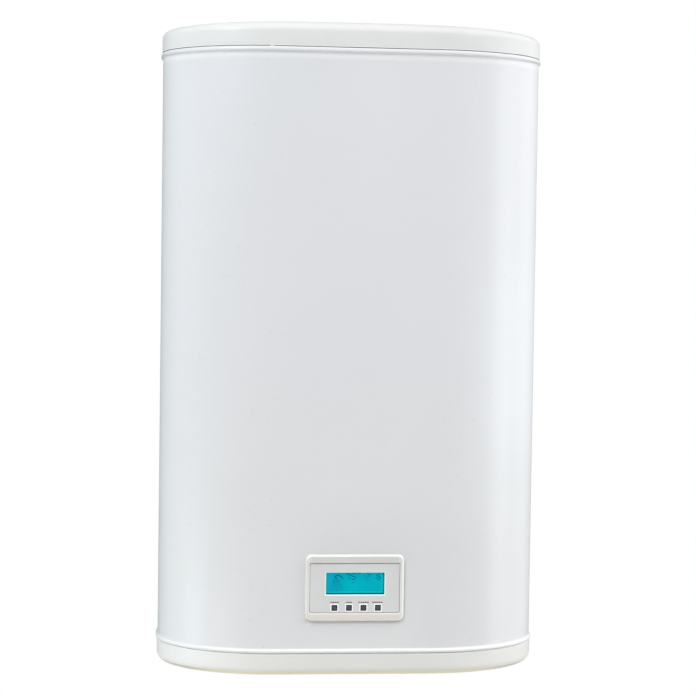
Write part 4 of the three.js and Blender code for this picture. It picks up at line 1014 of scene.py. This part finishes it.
def make_faceplate():
    y0, y1 = FACE_FRONT, FLANGE_BACK
    rim = rounded(0, PANEL_Z, PANEL_W - 4, PANEL_H - 4, 5, n=8, along=8)
    r = (1.9, 0.6, 0.6, 1.9)
    land = rounded(0, FRAME_Z, FRAME_W - 0.6, FRAME_H - 0.6, r, n=8, along=8)
    land_in = rounded(0, FRAME_Z, FRAME_W - 1.0, FRAME_H - 1.0, tuple(q - 0.15 for q in r), n=8, along=8)
    v, f = strips([upright(rim, y1), upright(rim, FLANGE_FRONT), upright(land, FLANGE_FRONT), upright(land, y0 + 0.15), upright(land_in, y0)], cap_first=True, cap_last=True)
    obj = mesh_object("faceplate", v, f, [FACE, LIP, GAP_SHADE, GAP_SOFT], angle=30)

    def win(grow):
        return rounded(WIN_X, WIN_Z, WIN_W + 2 * grow, WIN_H + 2 * grow, 0.5 + grow * 0.5, n=4, along=4)

    wv, wf = strips([upright(win(0.0), y1 + 3), upright(win(0.0), y0 + 0.9), upright(win(1.15), y0 - 0.02), upright(win(1.15), y0 - 3)], cap_first=True, cap_last=True)
    cutters = [cutter((wv, wf))]
    for x in KEY_X:
        k = rounded(x, KEY_Z, KEY + 0.5, KEY + 0.5, 0.7, n=4, along=2)
        cutters.append(cutter(prism(upright(k, y0 - 3), upright(k, y1 + 3))))
    cut(obj, cutters, angle=30)
    # the window's sloping lip gets its own glossier material with a painted glow, and the sides of the land in the gap
    # get painted shade
    me = obj.data
    while len(me.materials) < 4:
        me.materials.append(LIP)
    for k, m in enumerate((FACE, LIP, GAP_SHADE, GAP_SOFT)):
        me.materials[k] = m
    for p in me.polygons:
        c = p.center * 1000
        p.material_index = 0
        if abs(p.normal.y) < 0.98 and abs(c.x - WIN_X) < 37 and abs(c.z + LIFT - WIN_Z) < 15.2 and c.y < y0 + 0.95:
            p.material_index = 1
        elif abs(p.normal.y) < 0.3 and c.y < FLANGE_FRONT - 0.05 and max(abs(c.x) - FRAME_W / 2, abs(c.z + LIFT - FRAME_Z) - FRAME_H / 2) > -0.6:
            p.material_index = 2 if p.normal.z > 0.5 else 3
    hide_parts("panel_faceplate")
    # thin raised collars round the keys
    for i, x in enumerate(KEY_X):
        a = rounded(x, KEY_Z, KEY + 2.5, KEY + 2.5, 1.2, n=5, along=2)
        b = rounded(x, KEY_Z, KEY + 2.1, KEY + 2.1, 1.0, n=5, along=2)
        c = rounded(x, KEY_Z, KEY + 0.46, KEY + 0.46, 0.6, n=5, along=2)
        d = rounded(x, KEY_Z, KEY + 0.22, KEY + 0.22, 0.5, n=5, along=2)
        v, f = strips([upright(a, y0 + 0.05), upright(a, y0 - 0.12), upright(b, y0 - 0.24), upright(c, y0 - 0.24), upright(d, y0 - 0.12), upright(d, y0 + 0.05)], closed_loop=True)
        mesh_object(f"key_collar_{i + 1}", v, f, COLLAR, angle=40)


def make_keys():
    for i, x in enumerate(KEY_X):
        y, b = FACE_FRONT - 0.5, FLANGE_BACK

        def sq(size, r):
            return rounded(x, KEY_Z, size, size, r, n=5, along=4)

        rings = [upright(sq(3.2, 0.4), b + 3.2), upright(sq(3.2, 0.4), b + 1.3), upright(sq(9.2, 0.6), b + 1.3), upright(sq(9.2, 0.6), b + 0.3),
                 upright(sq(KEY, 0.45), b + 0.3), upright(sq(KEY, 0.45), y + 0.5), upright(sq(KEY - 0.15, 0.5), y + 0.2), upright(sq(KEY - 0.6, 0.6), y + 0.04),
                 upright(sq(KEY - 1.2, 0.6), y + 0.02), upright(sq(KEY - 2.0, 0.6), y + 0.16), upright(sq(2.0, 0.5), y + 0.2)]
        v, f = strips(rings, cap_first=True, cap_last=True)
        obj = mesh_object(f"key_{i + 1}", v, f, KEYS, body=f"key_{i + 1}", angle=38)
        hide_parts(f"button_{i + 1}")


LCD_Y = FLANGE_BACK + 1.0


def make_lcd():
    w, h = 78.0, WIN_H + 6.0

    def loop(inset):
        return rounded(WIN_X, WIN_Z, w - 2 * inset, h - 2 * inset, 1.0, n=4, along=6)

    v, f = strips([upright(loop(0), LCD_Y + 2.8), upright(loop(0), LCD_Y + 0.4), upright(loop(0.4), LCD_Y)], cap_first=True, cap_last=True)
    obj = mesh_object("lcd_cell", v, f, LCD, angle=30)
    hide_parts("lcd_glass")
    marks, soft, faint = [], [], []
    sink = [marks]

    def px(u, v_):
        """A point of the display, from its left edge and top edge in millimetres."""
        return (WIN_X - WIN_W / 2 + u, WIN_Z + WIN_H / 2 - v_)

    def poly(points):
        p = np.array([px(*q) for q in points])
        lo, hi = upright(p, LCD_Y + 0.01), upright(p, LCD_Y - 0.06)
        sink[0].append(prism(lo, hi))

    def stroke(a, b, wdt, taper=1.0):
        a, b = np.array(a, float), np.array(b, float)
        d = (b - a) / np.linalg.norm(b - a)
        q = np.array([-d[1], d[0]]) * wdt / 2
        poly([a + q, b + q * taper, b - q * taper, a - q])

    SEGS = {"0": "abcdef", "1": "bc", "2": "abged", "5": "afgcd", "6": "afgedc", "7": "abc"}

    def digit(ch, u, v_, w_, h_, t, only=None):
        lean = 0.12 * h_
        def at(fx, fy):
            return (u + fx * w_ + lean * (1 - fy), v_ + fy * h_)
        gap = t * 0.35
        ends = {"a": ((0, 0), (1, 0)), "b": ((1, 0), (1, 0.5)), "c": ((1, 0.5), (1, 1)), "d": ((0, 1), (1, 1)), "e": ((0, 0.5), (0, 1)), "f": ((0, 0), (0, 0.5)), "g": ((0, 0.5), (1, 0.5))}
        for s in only or SEGS[ch]:
            a, b = np.array(at(*ends[s][0])), np.array(at(*ends[s][1]))
            d = (b - a) / np.linalg.norm(b - a)
            a, b = a + d * gap, b - d * gap
            q = np.array([-d[1], d[0]]) * t / 2
            e = d * t / 2
            poly([a, a + e + q, b - e + q, b, b - e - q, a + e - q])

    digit("7", 23.0, 1.35, 4.6, 7.3, 1.2)
    digit("5", 30.2, 1.35, 4.8, 7.1, 1.2)
    stroke((37.2, 1.3), (41.6, 1.3), 0.9)
    digit("2", 48.2, 2.2, 4.0, 6.2, 1.0, only="ab")
    digit("1", 57.4, 2.2, 2.8, 5.8, 0.8)
    digit("6", 61.8, 2.2, 3.7, 6.4, 1.0)
    # shower head: a curved pipe, the rose under it, and a fan of spray lines
    arc = [(20.6, 7.9), (19.0, 5.8), (17.0, 4.3), (14.4, 3.5), (12.2, 3.9), (10.6, 5.4)]
    for k, (a, b) in enumerate(zip(arc[:-1], arc[1:])):
        stroke(a, b, 1.0 + 0.1 * k)
    stroke((10.9, 5.0), (13.6, 8.4), 1.1)
    sink[0] = soft
    poly([(8.2, 8.2), (9.6, 5.8), (12.4, 7.0), (15.2, 8.6), (17.0, 10.2), (16.4, 13.0), (8.6, 13.4), (6.9, 11.8)])
    sink[0] = faint
    digit("1", 43.4, 2.6, 2.6, 5.6, 0.9)
    digit("2", 48.2, 2.2, 4.0, 6.2, 1.0, only="ged")
    stroke((31.4, 12.2), (34.2, 12.2), 1.2)
    for a, b in (((8.2, 13.4), (3.6, 23.4)), ((9.8, 13.8), (6.6, 23.8)), ((11.4, 14.0), (9.6, 24.0)), ((13.0, 14.0), (12.8, 24.0)), ((14.6, 13.8), (16.0, 23.0)), ((16.0, 13.4), (18.8, 21.8)), ((17.2, 12.8), (21.2, 20.4))):
        stroke(a, b, 0.68, taper=0.8)
    for name, group, ink in (("lcd_segments", marks, INK), ("lcd_rose", soft, INK_SOFT), ("lcd_spray", faint, INK_FAINT)):
        v, f = join(group)
        mesh_object(name, v, f, ink, angle=30, weld=False)

    # plain dashes printed over the keys
    dashes = []
    for x, total, count in ((-24.1, 9.8, 4), (-6.9, 7.0, 3), (10.6, 12.6, 5), (27.2, 12.4, 5)):
        gap = 0.42
        each = (total - gap * (count - 1)) / count
        for k in range(count):
            x0 = x - total / 2 + k * (each + gap)
            r = rounded(x0 + each / 2, -298.2, each, 1.5, 0.25, n=3, along=2)
            dashes.append(strips([upright(r, FACE_FRONT + 0.02), upright(r, FACE_FRONT - 0.05)], cap_first=True, cap_last=True))
    v, f = join(dashes)
    mesh_object("key_dashes", v, f, PRINT, angle=30, weld=False)


# ------------------------------------------------------------------ water connections and gland
def make_nipples():
    for name, x in (("cold_inlet_nipple", PIPE_X), ("hot_outlet_nipple", -PIPE_X)):
        n = 56
        a = np.arange(n) * 2 * math.pi / n
        pitch, depth = 1.814, 1.05
        rings = []

        def ring_of(r, z):
            return np.stack([x + r * np.cos(a), PIPE_Y + r * np.sin(a), z * np.ones(n)], 1)

        rings.append(ring_of(7.5 * np.ones(n), PIPE_END + 0.3))
        rings.append(ring_of(7.8 * np.ones(n), PIPE_END))
        rings.append(ring_of(9.2 * np.ones(n), PIPE_END))
        z_top = BASE_Z + 1.0
        steps = int((z_top - PIPE_END) / (pitch / 8))
        for i in range(steps + 1):
            z = PIPE_END + 0.35 + (z_top - PIPE_END - 0.35) * i / steps
            phase = (z / pitch - a / (2 * math.pi)) % 1.0
            tooth = np.abs(phase - 0.5) * 2
            cutdepth = depth * np.clip((tooth - 0.12) / 0.76, 0, 1)
            lead = min(1.0, (z - PIPE_END) / 2.2)
            fade = min(1.0, max(0.0, (z_top - 1.2 - z) / 1.5))
            r = 10.35 - cutdepth * fade - (1 - lead) * 1.0
            rings.append(ring_of(r, z))
        rings += [ring_of(10.35 * np.ones(n), z) for z in (-350.0, -300.0, -276.0)]
        rings += [ring_of(7.5 * np.ones(n), z) for z in (-276.0, -330.0)]
        v, f = strips(rings, closed_loop=True)
        obj = mesh_object(name + "_piece", v, f, THREAD, angle=60)
        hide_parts(name)
    for name, x, m, s in (("cold_inlet_ring", PIPE_X, BLUE, "blue_plastic"), ("hot_outlet_ring", -PIPE_X, RED, "red_plastic")):
        prof = [(10.9, BASE_Z - 2.1), (11.2, BASE_Z - 2.4), (16.2, BASE_Z - 2.4), (16.9, BASE_Z - 2.25), (17.4, BASE_Z - 1.8), (17.6, BASE_Z - 1.2),
                (17.6, BASE_Z - 0.3), (14.5, BASE_Z - 0.3), (14.5, BASE_Z + 5.4), (14.1, BASE_Z + 6.0), (10.9, BASE_Z + 6.0)]
        v, f = turned(prof, x, PIPE_Y, 72)
        obj = mesh_object(name + "_piece", v, f, m, angle=35)
        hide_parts(name)


def make_gland():
    hexa = np.array([(math.cos(math.radians(60 * k + 30)), math.sin(math.radians(60 * k + 30))) for k in range(6)])

    def hex_ring(r, z, n_side=6):
        pts = []
        for k in range(6):
            for i in range(n_side):
                p = hexa[k] + (hexa[(k + 1) % 6] - hexa[k]) * i / n_side
                pts.append((GLAND_X + r * p[0], GLAND_Y + r * p[1]))
        return lying(np.array(pts), z)

    def round_ring(r, z):
        pts = []
        for k in range(6):
            for i in range(6):
                a = math.radians(60 * k + 30 + 10 * i)
                pts.append((GLAND_X + r * math.cos(a), GLAND_Y + r * math.sin(a)))
        return lying(np.array(pts), z)

    top, low = BASE_Z - 0.3, BASE_Z - 5.3
    rings = [round_ring(4.0, BASE_Z + 13), round_ring(7.5, BASE_Z + 13), round_ring(7.9, BASE_Z + 12.4)]
    for i in range(8):
        z = BASE_Z + 12.0 - i * 1.5
        rings += [round_ring(7.9, z), round_ring(7.35, z - 0.75)]
    rings += [round_ring(7.9, top), round_ring(10.0, top), hex_ring(11.4, top - 0.7), hex_ring(11.5, top - 1.0), hex_ring(11.5, low + 0.8), hex_ring(11.2, low + 0.3), round_ring(9.6, low), round_ring(7.2, low)]
    for i in range(6):
        z = low - 0.4 - i * 1.4
        rings += [round_ring(7.2, z), round_ring(6.7, z - 0.7)]
    rings += [round_ring(7.0, BASE_Z - 14.0), round_ring(4.0, BASE_Z - 14.0)]
    v, f = strips(rings, closed_loop=True)
    obj = mesh_object("gland_body", v, f, NYLON, angle=35)
    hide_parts("cable_gland")

    n = 96
    a = np.arange(n) * 2 * math.pi / n

    def rib(r, z, depth):
        wob = np.clip(np.cos(16 * a) * 2.2, -1, 1)
        rr = r - depth * (0.5 - 0.5 * wob)
        return np.stack([GLAND_X + rr * np.cos(a), GLAND_Y + rr * np.sin(a), z * np.ones(n)], 1)

    rings = [rib(4.0, BASE_Z - 20.7, 0), rib(4.3, BASE_Z - 21.0, 0), rib(6.5, BASE_Z - 21.0, 0), rib(7.4, BASE_Z - 20.6, 0.0), rib(8.6, BASE_Z - 19.2, 0.15),
             rib(9.6, BASE_Z - 17.2, 0.35), rib(10.3, BASE_Z - 15.2, 0.6), rib(10.6, BASE_Z - 13.8, 0.7), rib(10.6, BASE_Z - 6.4, 0.7), rib(10.2, BASE_Z - 5.8, 0.3),
             rib(9.9, BASE_Z - 5.6, 0.0), rib(7.5, BASE_Z - 5.6, 0), rib(7.5, BASE_Z - 14.3, 0), rib(4.0, BASE_Z - 17.0, 0)]
    v, f = strips(rings, closed_loop=True)
    obj = mesh_object("gland_cap_nut", v, f, NYLON, angle=40)
    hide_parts("gland_nut")


# ------------------------------------------------------------------ wall brackets, bolts, plug
def make_brackets():
    back = BACK + 0.3
    t = 2.5
    r_in, r_out = 1.2, 3.2

    def arc(cx, cy, r, a0, a1, n=5):
        return [(cx + r * math.cos(math.radians(a0 + (a1 - a0) * i / n)), cy + r * math.sin(math.radians(a0 + (a1 - a0) * i / n))) for i in range(n + 1)]

    # right half of the strip's section in x and y, from the web's middle outwards on the wall side, then back inside
    xw = 62.0
    outer = [(0.0, 0.0), (20.0, 0.0), (40.0, 0.0)] + arc(xw - r_out, -r_out, r_out, 90, 0)
    outer += arc(xw + r_in, back + t + r_in, r_in, 180, 270) + [(75.0, back + t), (87.6, back + t), (88.0, back + t - 0.4)]
    inner = [(88.0, back + 0.4), (87.6, back), (75.0, back)] + arc(xw - t + r_out, back + r_out, r_out, 270, 180) + arc(xw - t - r_in, -t - r_in, r_in, 0, 90) + [(40.0, -t), (20.0, -t), (0.0, -t)]
    right = outer + inner
    left = [(-x, y) for x, y in right[::-1] if x > 0]
    loop = np.array(right + left)
    # remove doubled points
    keep = [0]
    for i in range(1, len(loop)):
        if np.linalg.norm(loop[i] - loop[keep[-1]]) > 1e-4:
            keep.append(i)
    loop = loop[keep]
    for name, z, notched in (("upper_wall_bracket", BRACKET_UP, True), ("lower_wall_bracket", BRACKET_DOWN, False)):
        v, f = prism(lying(loop, z - 22), lying(loop, z + 22))
        obj = mesh_object(name + "_piece", v, f, STRIP, angle=35)
        cutters = []
        for s in (-1, 1):
            cutters.append(cutter(rod_y(s * BOLT_X, z, 4.3, back - 2, back + 8, 32)))
            if notched:
                x = s * 40.0
                pts = [(x - 5, z - 30), (x + 5, z - 30), (x + 5, z + 2)] + [(x + 5 * math.cos(math.radians(a)), z + 2 + 5 * math.sin(math.radians(a))) for a in range(15, 180, 15)] + [(x - 5, z + 2)]
                p = np.array(pts)
                cutters.append(cutter(prism(upright(p, -t - 3), upright(p, 2))))
        cut(obj, cutters, angle=35)
        bevel(obj, 0.35, 2, limit=50, angle=35)
        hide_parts(name)

    for level, z in (("upper", BRACKET_UP), ("lower", BRACKET_DOWN)):
        for side, s in (("left", -1), ("right", 1)):
            y = back + t + 0.02
            x = s * BOLT_X
            hexa = [(math.cos(math.radians(60 * k)), math.sin(math.radians(60 * k))) for k in range(6)]

            def ring(kind, r, yy):
                pts = []
                for k in range(6):
                    for i in range(6):
                        if kind == "hex":
                            px_ = hexa[k][0] + (hexa[(k + 1) % 6][0] - hexa[k][0]) * i / 6
                            pz_ = hexa[k][1] + (hexa[(k + 1) % 6][1] - hexa[k][1]) * i / 6
                        else:
                            a = math.radians(60 * k + 10 * i)
                            px_, pz_ = math.cos(a), math.sin(a)
                        pts.append((x + r * px_, yy, z + r * pz_))
                return np.array(pts)

            y_in = SADDLE_Y - 3.6
            rings = [ring("round", 3.4, y_in), ring("round", 3.8, y_in + 0.5)]
            k = y_in + 1.0
            while k < SADDLE_Y + 9:
                rings += [ring("round", 3.8, k), ring("round", 3.35, k + 0.55)]
                k += 1.1
            rings += [ring("round", 3.8, k), ring("round", 3.8, y + 0.3), ring("round", 7.4, y + 0.3), ring("round", 7.5, y + 0.45), ring("round", 7.5, y + 1.35), ring("round", 7.4, y + 1.5),
                      ring("round", 6.3, y + 1.5), ring("hex", 7.1, y + 1.7), ring("hex", 7.1, y + 4.7), ring("hex", 6.9, y + 5.1), ring("round", 5.9, y + 5.5), ring("round", 3.0, y + 5.55)]
            v, f = strips(rings, cap_first=True, cap_last=True)
            obj = mesh_object(f"bolt_{level}_{side}", v, f, ZINC, angle=32)
            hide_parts(f"bracket_bolt_{level}_{side}")

    # plug in the foam filling hole
    y = BACK + 0.3
    prof = [(0.0, y - 8.0), (8.6, y - 8.0), (9.4, y - 7.2), (9.6, y - 6.0), (9.3, y - 2.0), (9.6, y), (13.2, y), (13.5, y + 0.4), (13.3, y + 1.0), (12.4, y + 1.5), (10.5, y + 1.65), (9.4, y + 1.2), (6.0, y + 1.1), (0.0, y + 1.1)]
    v, f = turn_to_y(turned(prof, 0, 0, 48), 0.0, 60.0)
    obj = mesh_object("filling_plug", v, f, NYLON, angle=35)
    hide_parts("foam_fill_plug")


make_casing()
make_top_cap()
make_bottom_cap()
make_cover()
make_cover_screws()
make_bezel()
make_faceplate()
make_keys()
make_lcd()
make_nipples()
make_gland()
make_brackets()

# ------------------------------------------------------------------ the pieces inside, which keep their frame shapes
INSIDE = {
    "foam_insulation": FOAM,
    "left_tank": STAINLESS,
    "right_tank": STAINLESS,
    "upper_crossover_pipe": STAINLESS_X,
    "lower_crossover_pipe": STAINLESS_X,
    "upper_tank_saddle": ZINC,
    "lower_tank_saddle": ZINC,
    "cold_diffuser": NYLON,
    "hot_draw_pipe": STAINLESS,
    "left_heater_head": BRASS,
    "right_heater_head": BRASS,
    "left_heater_gasket": RUBBER,
    "right_heater_gasket": RUBBER,
    "left_heating_element": COPPER,
    "right_heating_element": COPPER,
    "thermowell": COPPER,
    "temperature_sensor": BLACK,
    "anode_plug": BRASS,
    "anode_rod": ANODE,
    "board_bracket": ZINC,
    "power_board": BOARD,
    "terminal_block": NYLON,
    "transformer": BLACK,
    "relay_left": RELAY,
    "relay_right": RELAY,
    "cutout_body": BLACK,
    "cutout_reset_button": RED,
    "lcd_backlight": GUIDE,
    "display_board": BOARD,
    "panel_back_box": NYLON,
    "ribbon_cable": FLAT_CABLE,
}
for node, m in INSIDE.items():
    o = NODES[node]
    o.data.materials.clear()
    o.data.materials.append(m)
    shade(o, 30)

# ------------------------------------------------------------------ floor, light, camera
FLOOR_Z = -1.75
n = 64
a = np.arange(n) * 2 * math.pi / n
rings = [np.stack([r * np.cos(a), r * np.sin(a), np.full(n, FLOOR_Z * 1000 + LIFT)], 1) for r in (3600.0, 2400.0, 1000.0)]
fv, ff = strips(rings, cap_last=True)
fm, nt, bsdf = new_material("pale_floor")
v = coords(nt)
nt.links.new(mix(nt, remap(nt, noise(nt, v, 2.0, 3.0), 0.3, 0.7, 0.0, 1.0), linear((246, 246, 246)), linear((249, 249, 249))), bsdf.inputs["Base Color"])
bsdf.inputs["Roughness"].default_value = 0.8
bump(nt, bsdf, noise(nt, v, 300.0, 2.0), 0.02, 0.0005)
# seen from beneath, the floor lets the view through, and its rim fades into the white surroundings
under = nt.nodes.new("ShaderNodeBsdfTransparent")
sides = nt.nodes.new("ShaderNodeNewGeometry")
ray = nt.nodes.new("ShaderNodeLightPath")
spread = nt.nodes.new("ShaderNodeVectorMath")
spread.operation = "LENGTH"
nt.links.new(coords(nt, (1, 1, 0)), spread.inputs[0])
rim = remap(nt, spread.outputs["Value"], 0.9, 3.2, 0.0, 1.0, smooth=True)
seen = math_node(nt, "MULTIPLY", rim, ray.outputs["Is Camera Ray"])
choose = nt.nodes.new("ShaderNodeMixShader")
nt.links.new(math_node(nt, "MAXIMUM", seen, sides.outputs["Backfacing"]), choose.inputs[0])
nt.links.new(bsdf.outputs[0], choose.inputs[1])
nt.links.new(under.outputs[0], choose.inputs[2])
nt.links.new(choose.outputs[0], next(q for q in nt.nodes if q.bl_idname == "ShaderNodeOutputMaterial").inputs[0])
floor = mesh_object("floor", fv, ff, fm, body=None)
if floor.data.polygons[0].normal.z < 0:
    floor.data.flip_normals()

world = bpy.data.worlds.new("studio")
scene.world = world
world.use_nodes = True
nt = world.node_tree
nt.nodes.clear()
out = nt.nodes.new("ShaderNodeOutputWorld")
light_bg = nt.nodes.new("ShaderNodeBackground")
seen_bg = nt.nodes.new("ShaderNodeBackground")
seen_bg.inputs["Color"].default_value = (1, 1, 1, 1)
seen_bg.inputs["Strength"].default_value = 1.0
tc = nt.nodes.new("ShaderNodeTexCoord")


def lobe(direction, sharp, colour, strength):
    """A soft patch of light in the surroundings, brightest towards a direction."""
    d = Vector(direction).normalized()
    dot = nt.nodes.new("ShaderNodeVectorMath")
    dot.operation = "DOT_PRODUCT"
    nt.links.new(tc.outputs["Generated"], dot.inputs[0])
    dot.inputs[1].default_value = d
    p = math_node(nt, "POWER", math_node(nt, "MAXIMUM", dot.outputs["Value"], 0.0), sharp)
    sc = nt.nodes.new("ShaderNodeVectorMath")
    sc.operation = "SCALE"
    sc.inputs[0].default_value = tuple(c * strength for c in colour)
    nt.links.new(p, sc.inputs["Scale"])
    return sc.outputs[0]


def add_all(base, parts):
    last = None
    for part in parts:
        n_ = nt.nodes.new("ShaderNodeVectorMath")
        n_.operation = "ADD"
        if last is None:
            n_.inputs[0].default_value = base
        else:
            nt.links.new(last, n_.inputs[0])
        nt.links.new(part, n_.inputs[1])
        last = n_.outputs[0]
    return last


# azimuth (0 is towards the viewer, 90 the right-hand side), elevation, sharpness, strength in red, green and blue
LOBES = [
    (-105, 20, 8, (0.89, 0.927, 0.917)),
    (-75, 20, 8, (0.004, 0.021, 0.021)),
    (105, 20, 8, (1.855, 1.848, 1.829)),
    (-45, 50, 8, (1.072, 1.047, 1.016)),
    (0, 50, 8, (1.247, 1.198, 1.166)),
    (45, 50, 8, (1.331, 1.282, 1.242)),
    (90, 50, 8, (0.032, 0.014, 0.0)),
    (0, 85, 6, (0.047, 0.022, 0.0)),
    (-90, -15, 8, (0.411, 0.44, 0.454)),
    (90, -15, 8, (0.211, 0.214, 0.215)),
    (150, 10, 8, (0.346, 0.349, 0.34)),
    (-150, 10, 8, (0.343, 0.403, 0.386)),
]


def towards(az, el):
    az, el = math.radians(az), math.radians(el)
    return (math.sin(az) * math.cos(el), -math.cos(az) * math.cos(el), math.sin(el))


total = add_all((0.0, 0.0, 0.0), [lobe(towards(az, el), sharp, colour, 1.0) for az, el, sharp, colour in LOBES])
nt.links.new(total, light_bg.inputs["Color"])
light_bg.inputs["Strength"].default_value = 1.0
lp = nt.nodes.new("ShaderNodeLightPath")
mixer = nt.nodes.new("ShaderNodeMixShader")
nt.links.new(lp.outputs["Is Camera Ray"], mixer.inputs[0])
nt.links.new(light_bg.outputs[0], mixer.inputs[1])
nt.links.new(seen_bg.outputs[0], mixer.inputs[2])
nt.links.new(mixer.outputs[0], out.inputs[0])


def area(name, place, aim, size, power, colour=(1, 1, 1)):
    data = bpy.data.lights.new(name, "AREA")
    data.shape = "RECTANGLE"
    data.size, data.size_y = size
    data.energy = power
    data.color = colour
    o = bpy.data.objects.new(name, data)
    o.location = place
    o.rotation_euler = (Vector(aim) - Vector(place)).to_track_quat("-Z", "Y").to_euler()
    o.visible_camera = False
    scene.collection.objects.link(o)
    return o


SOFTBOXES = [
    ("soft_left", (-0.9, -1.1, 0.75), (-0.1, -0.2, -0.1), (0.7, 0.7), (6.31, 6.55, 6.81)),
    ("soft_right", (1.0, -1.0, 0.65), (0.1, -0.2, -0.1), (0.7, 0.7), (1.96, 2.02, 2.06)),
    ("soft_side", (1.1, -0.5, -0.2), (0.2, -0.15, -0.25), (0.4, 1.2), (2.51, 2.6, 2.69)),
    ("soft_low_front", (-0.75, -0.85, -0.85), (-0.12, -0.2, -0.6), (0.4, 0.3), (0.71, 0.56, 0.53)),
    ("soft_low_side", (-0.95, -0.45, -0.75), (-0.15, -0.2, -0.6), (0.4, 0.3), (0.55, 0.71, 0.75)),
]
for name, place, aim, size, watts in SOFTBOXES:
    area(name, place, aim, size, max(watts), tuple(w / max(watts) for w in watts))

cam_data = bpy.data.cameras.new("camera")
cam = bpy.data.objects.new("camera", cam_data)
scene.collection.objects.link(cam)
yaw, pitch, roll = -0.10275, -0.042025, -0.013998
Rz = Matrix.Rotation(yaw, 3, "Z")
Rx = Matrix.Rotation(pitch, 3, "X")
Ry = Matrix.Rotation(roll, 3, "Y")
R = Rz @ Rx @ Ry
right_v, forward_v, up_v = R.col[0], R.col[1], R.col[2]
cam.matrix_world = Matrix.Translation((-0.252142, -2.590798, 0.103745 - LIFT / 1000)) @ Matrix((right_v, up_v, -forward_v)).transposed().to_4x4()
cam_data.lens = 1973.83 * 36 / 696
cam_data.sensor_width = 36
cam_data.clip_start, cam_data.clip_end = 0.05, 50
scene.camera = cam
scene.view_settings.view_transform = "Standard"
scene.view_settings.look = "None"
scene.view_settings.exposure = 0.0
scene.view_settings.gamma = 1.0

bpy.context.view_layer.update()
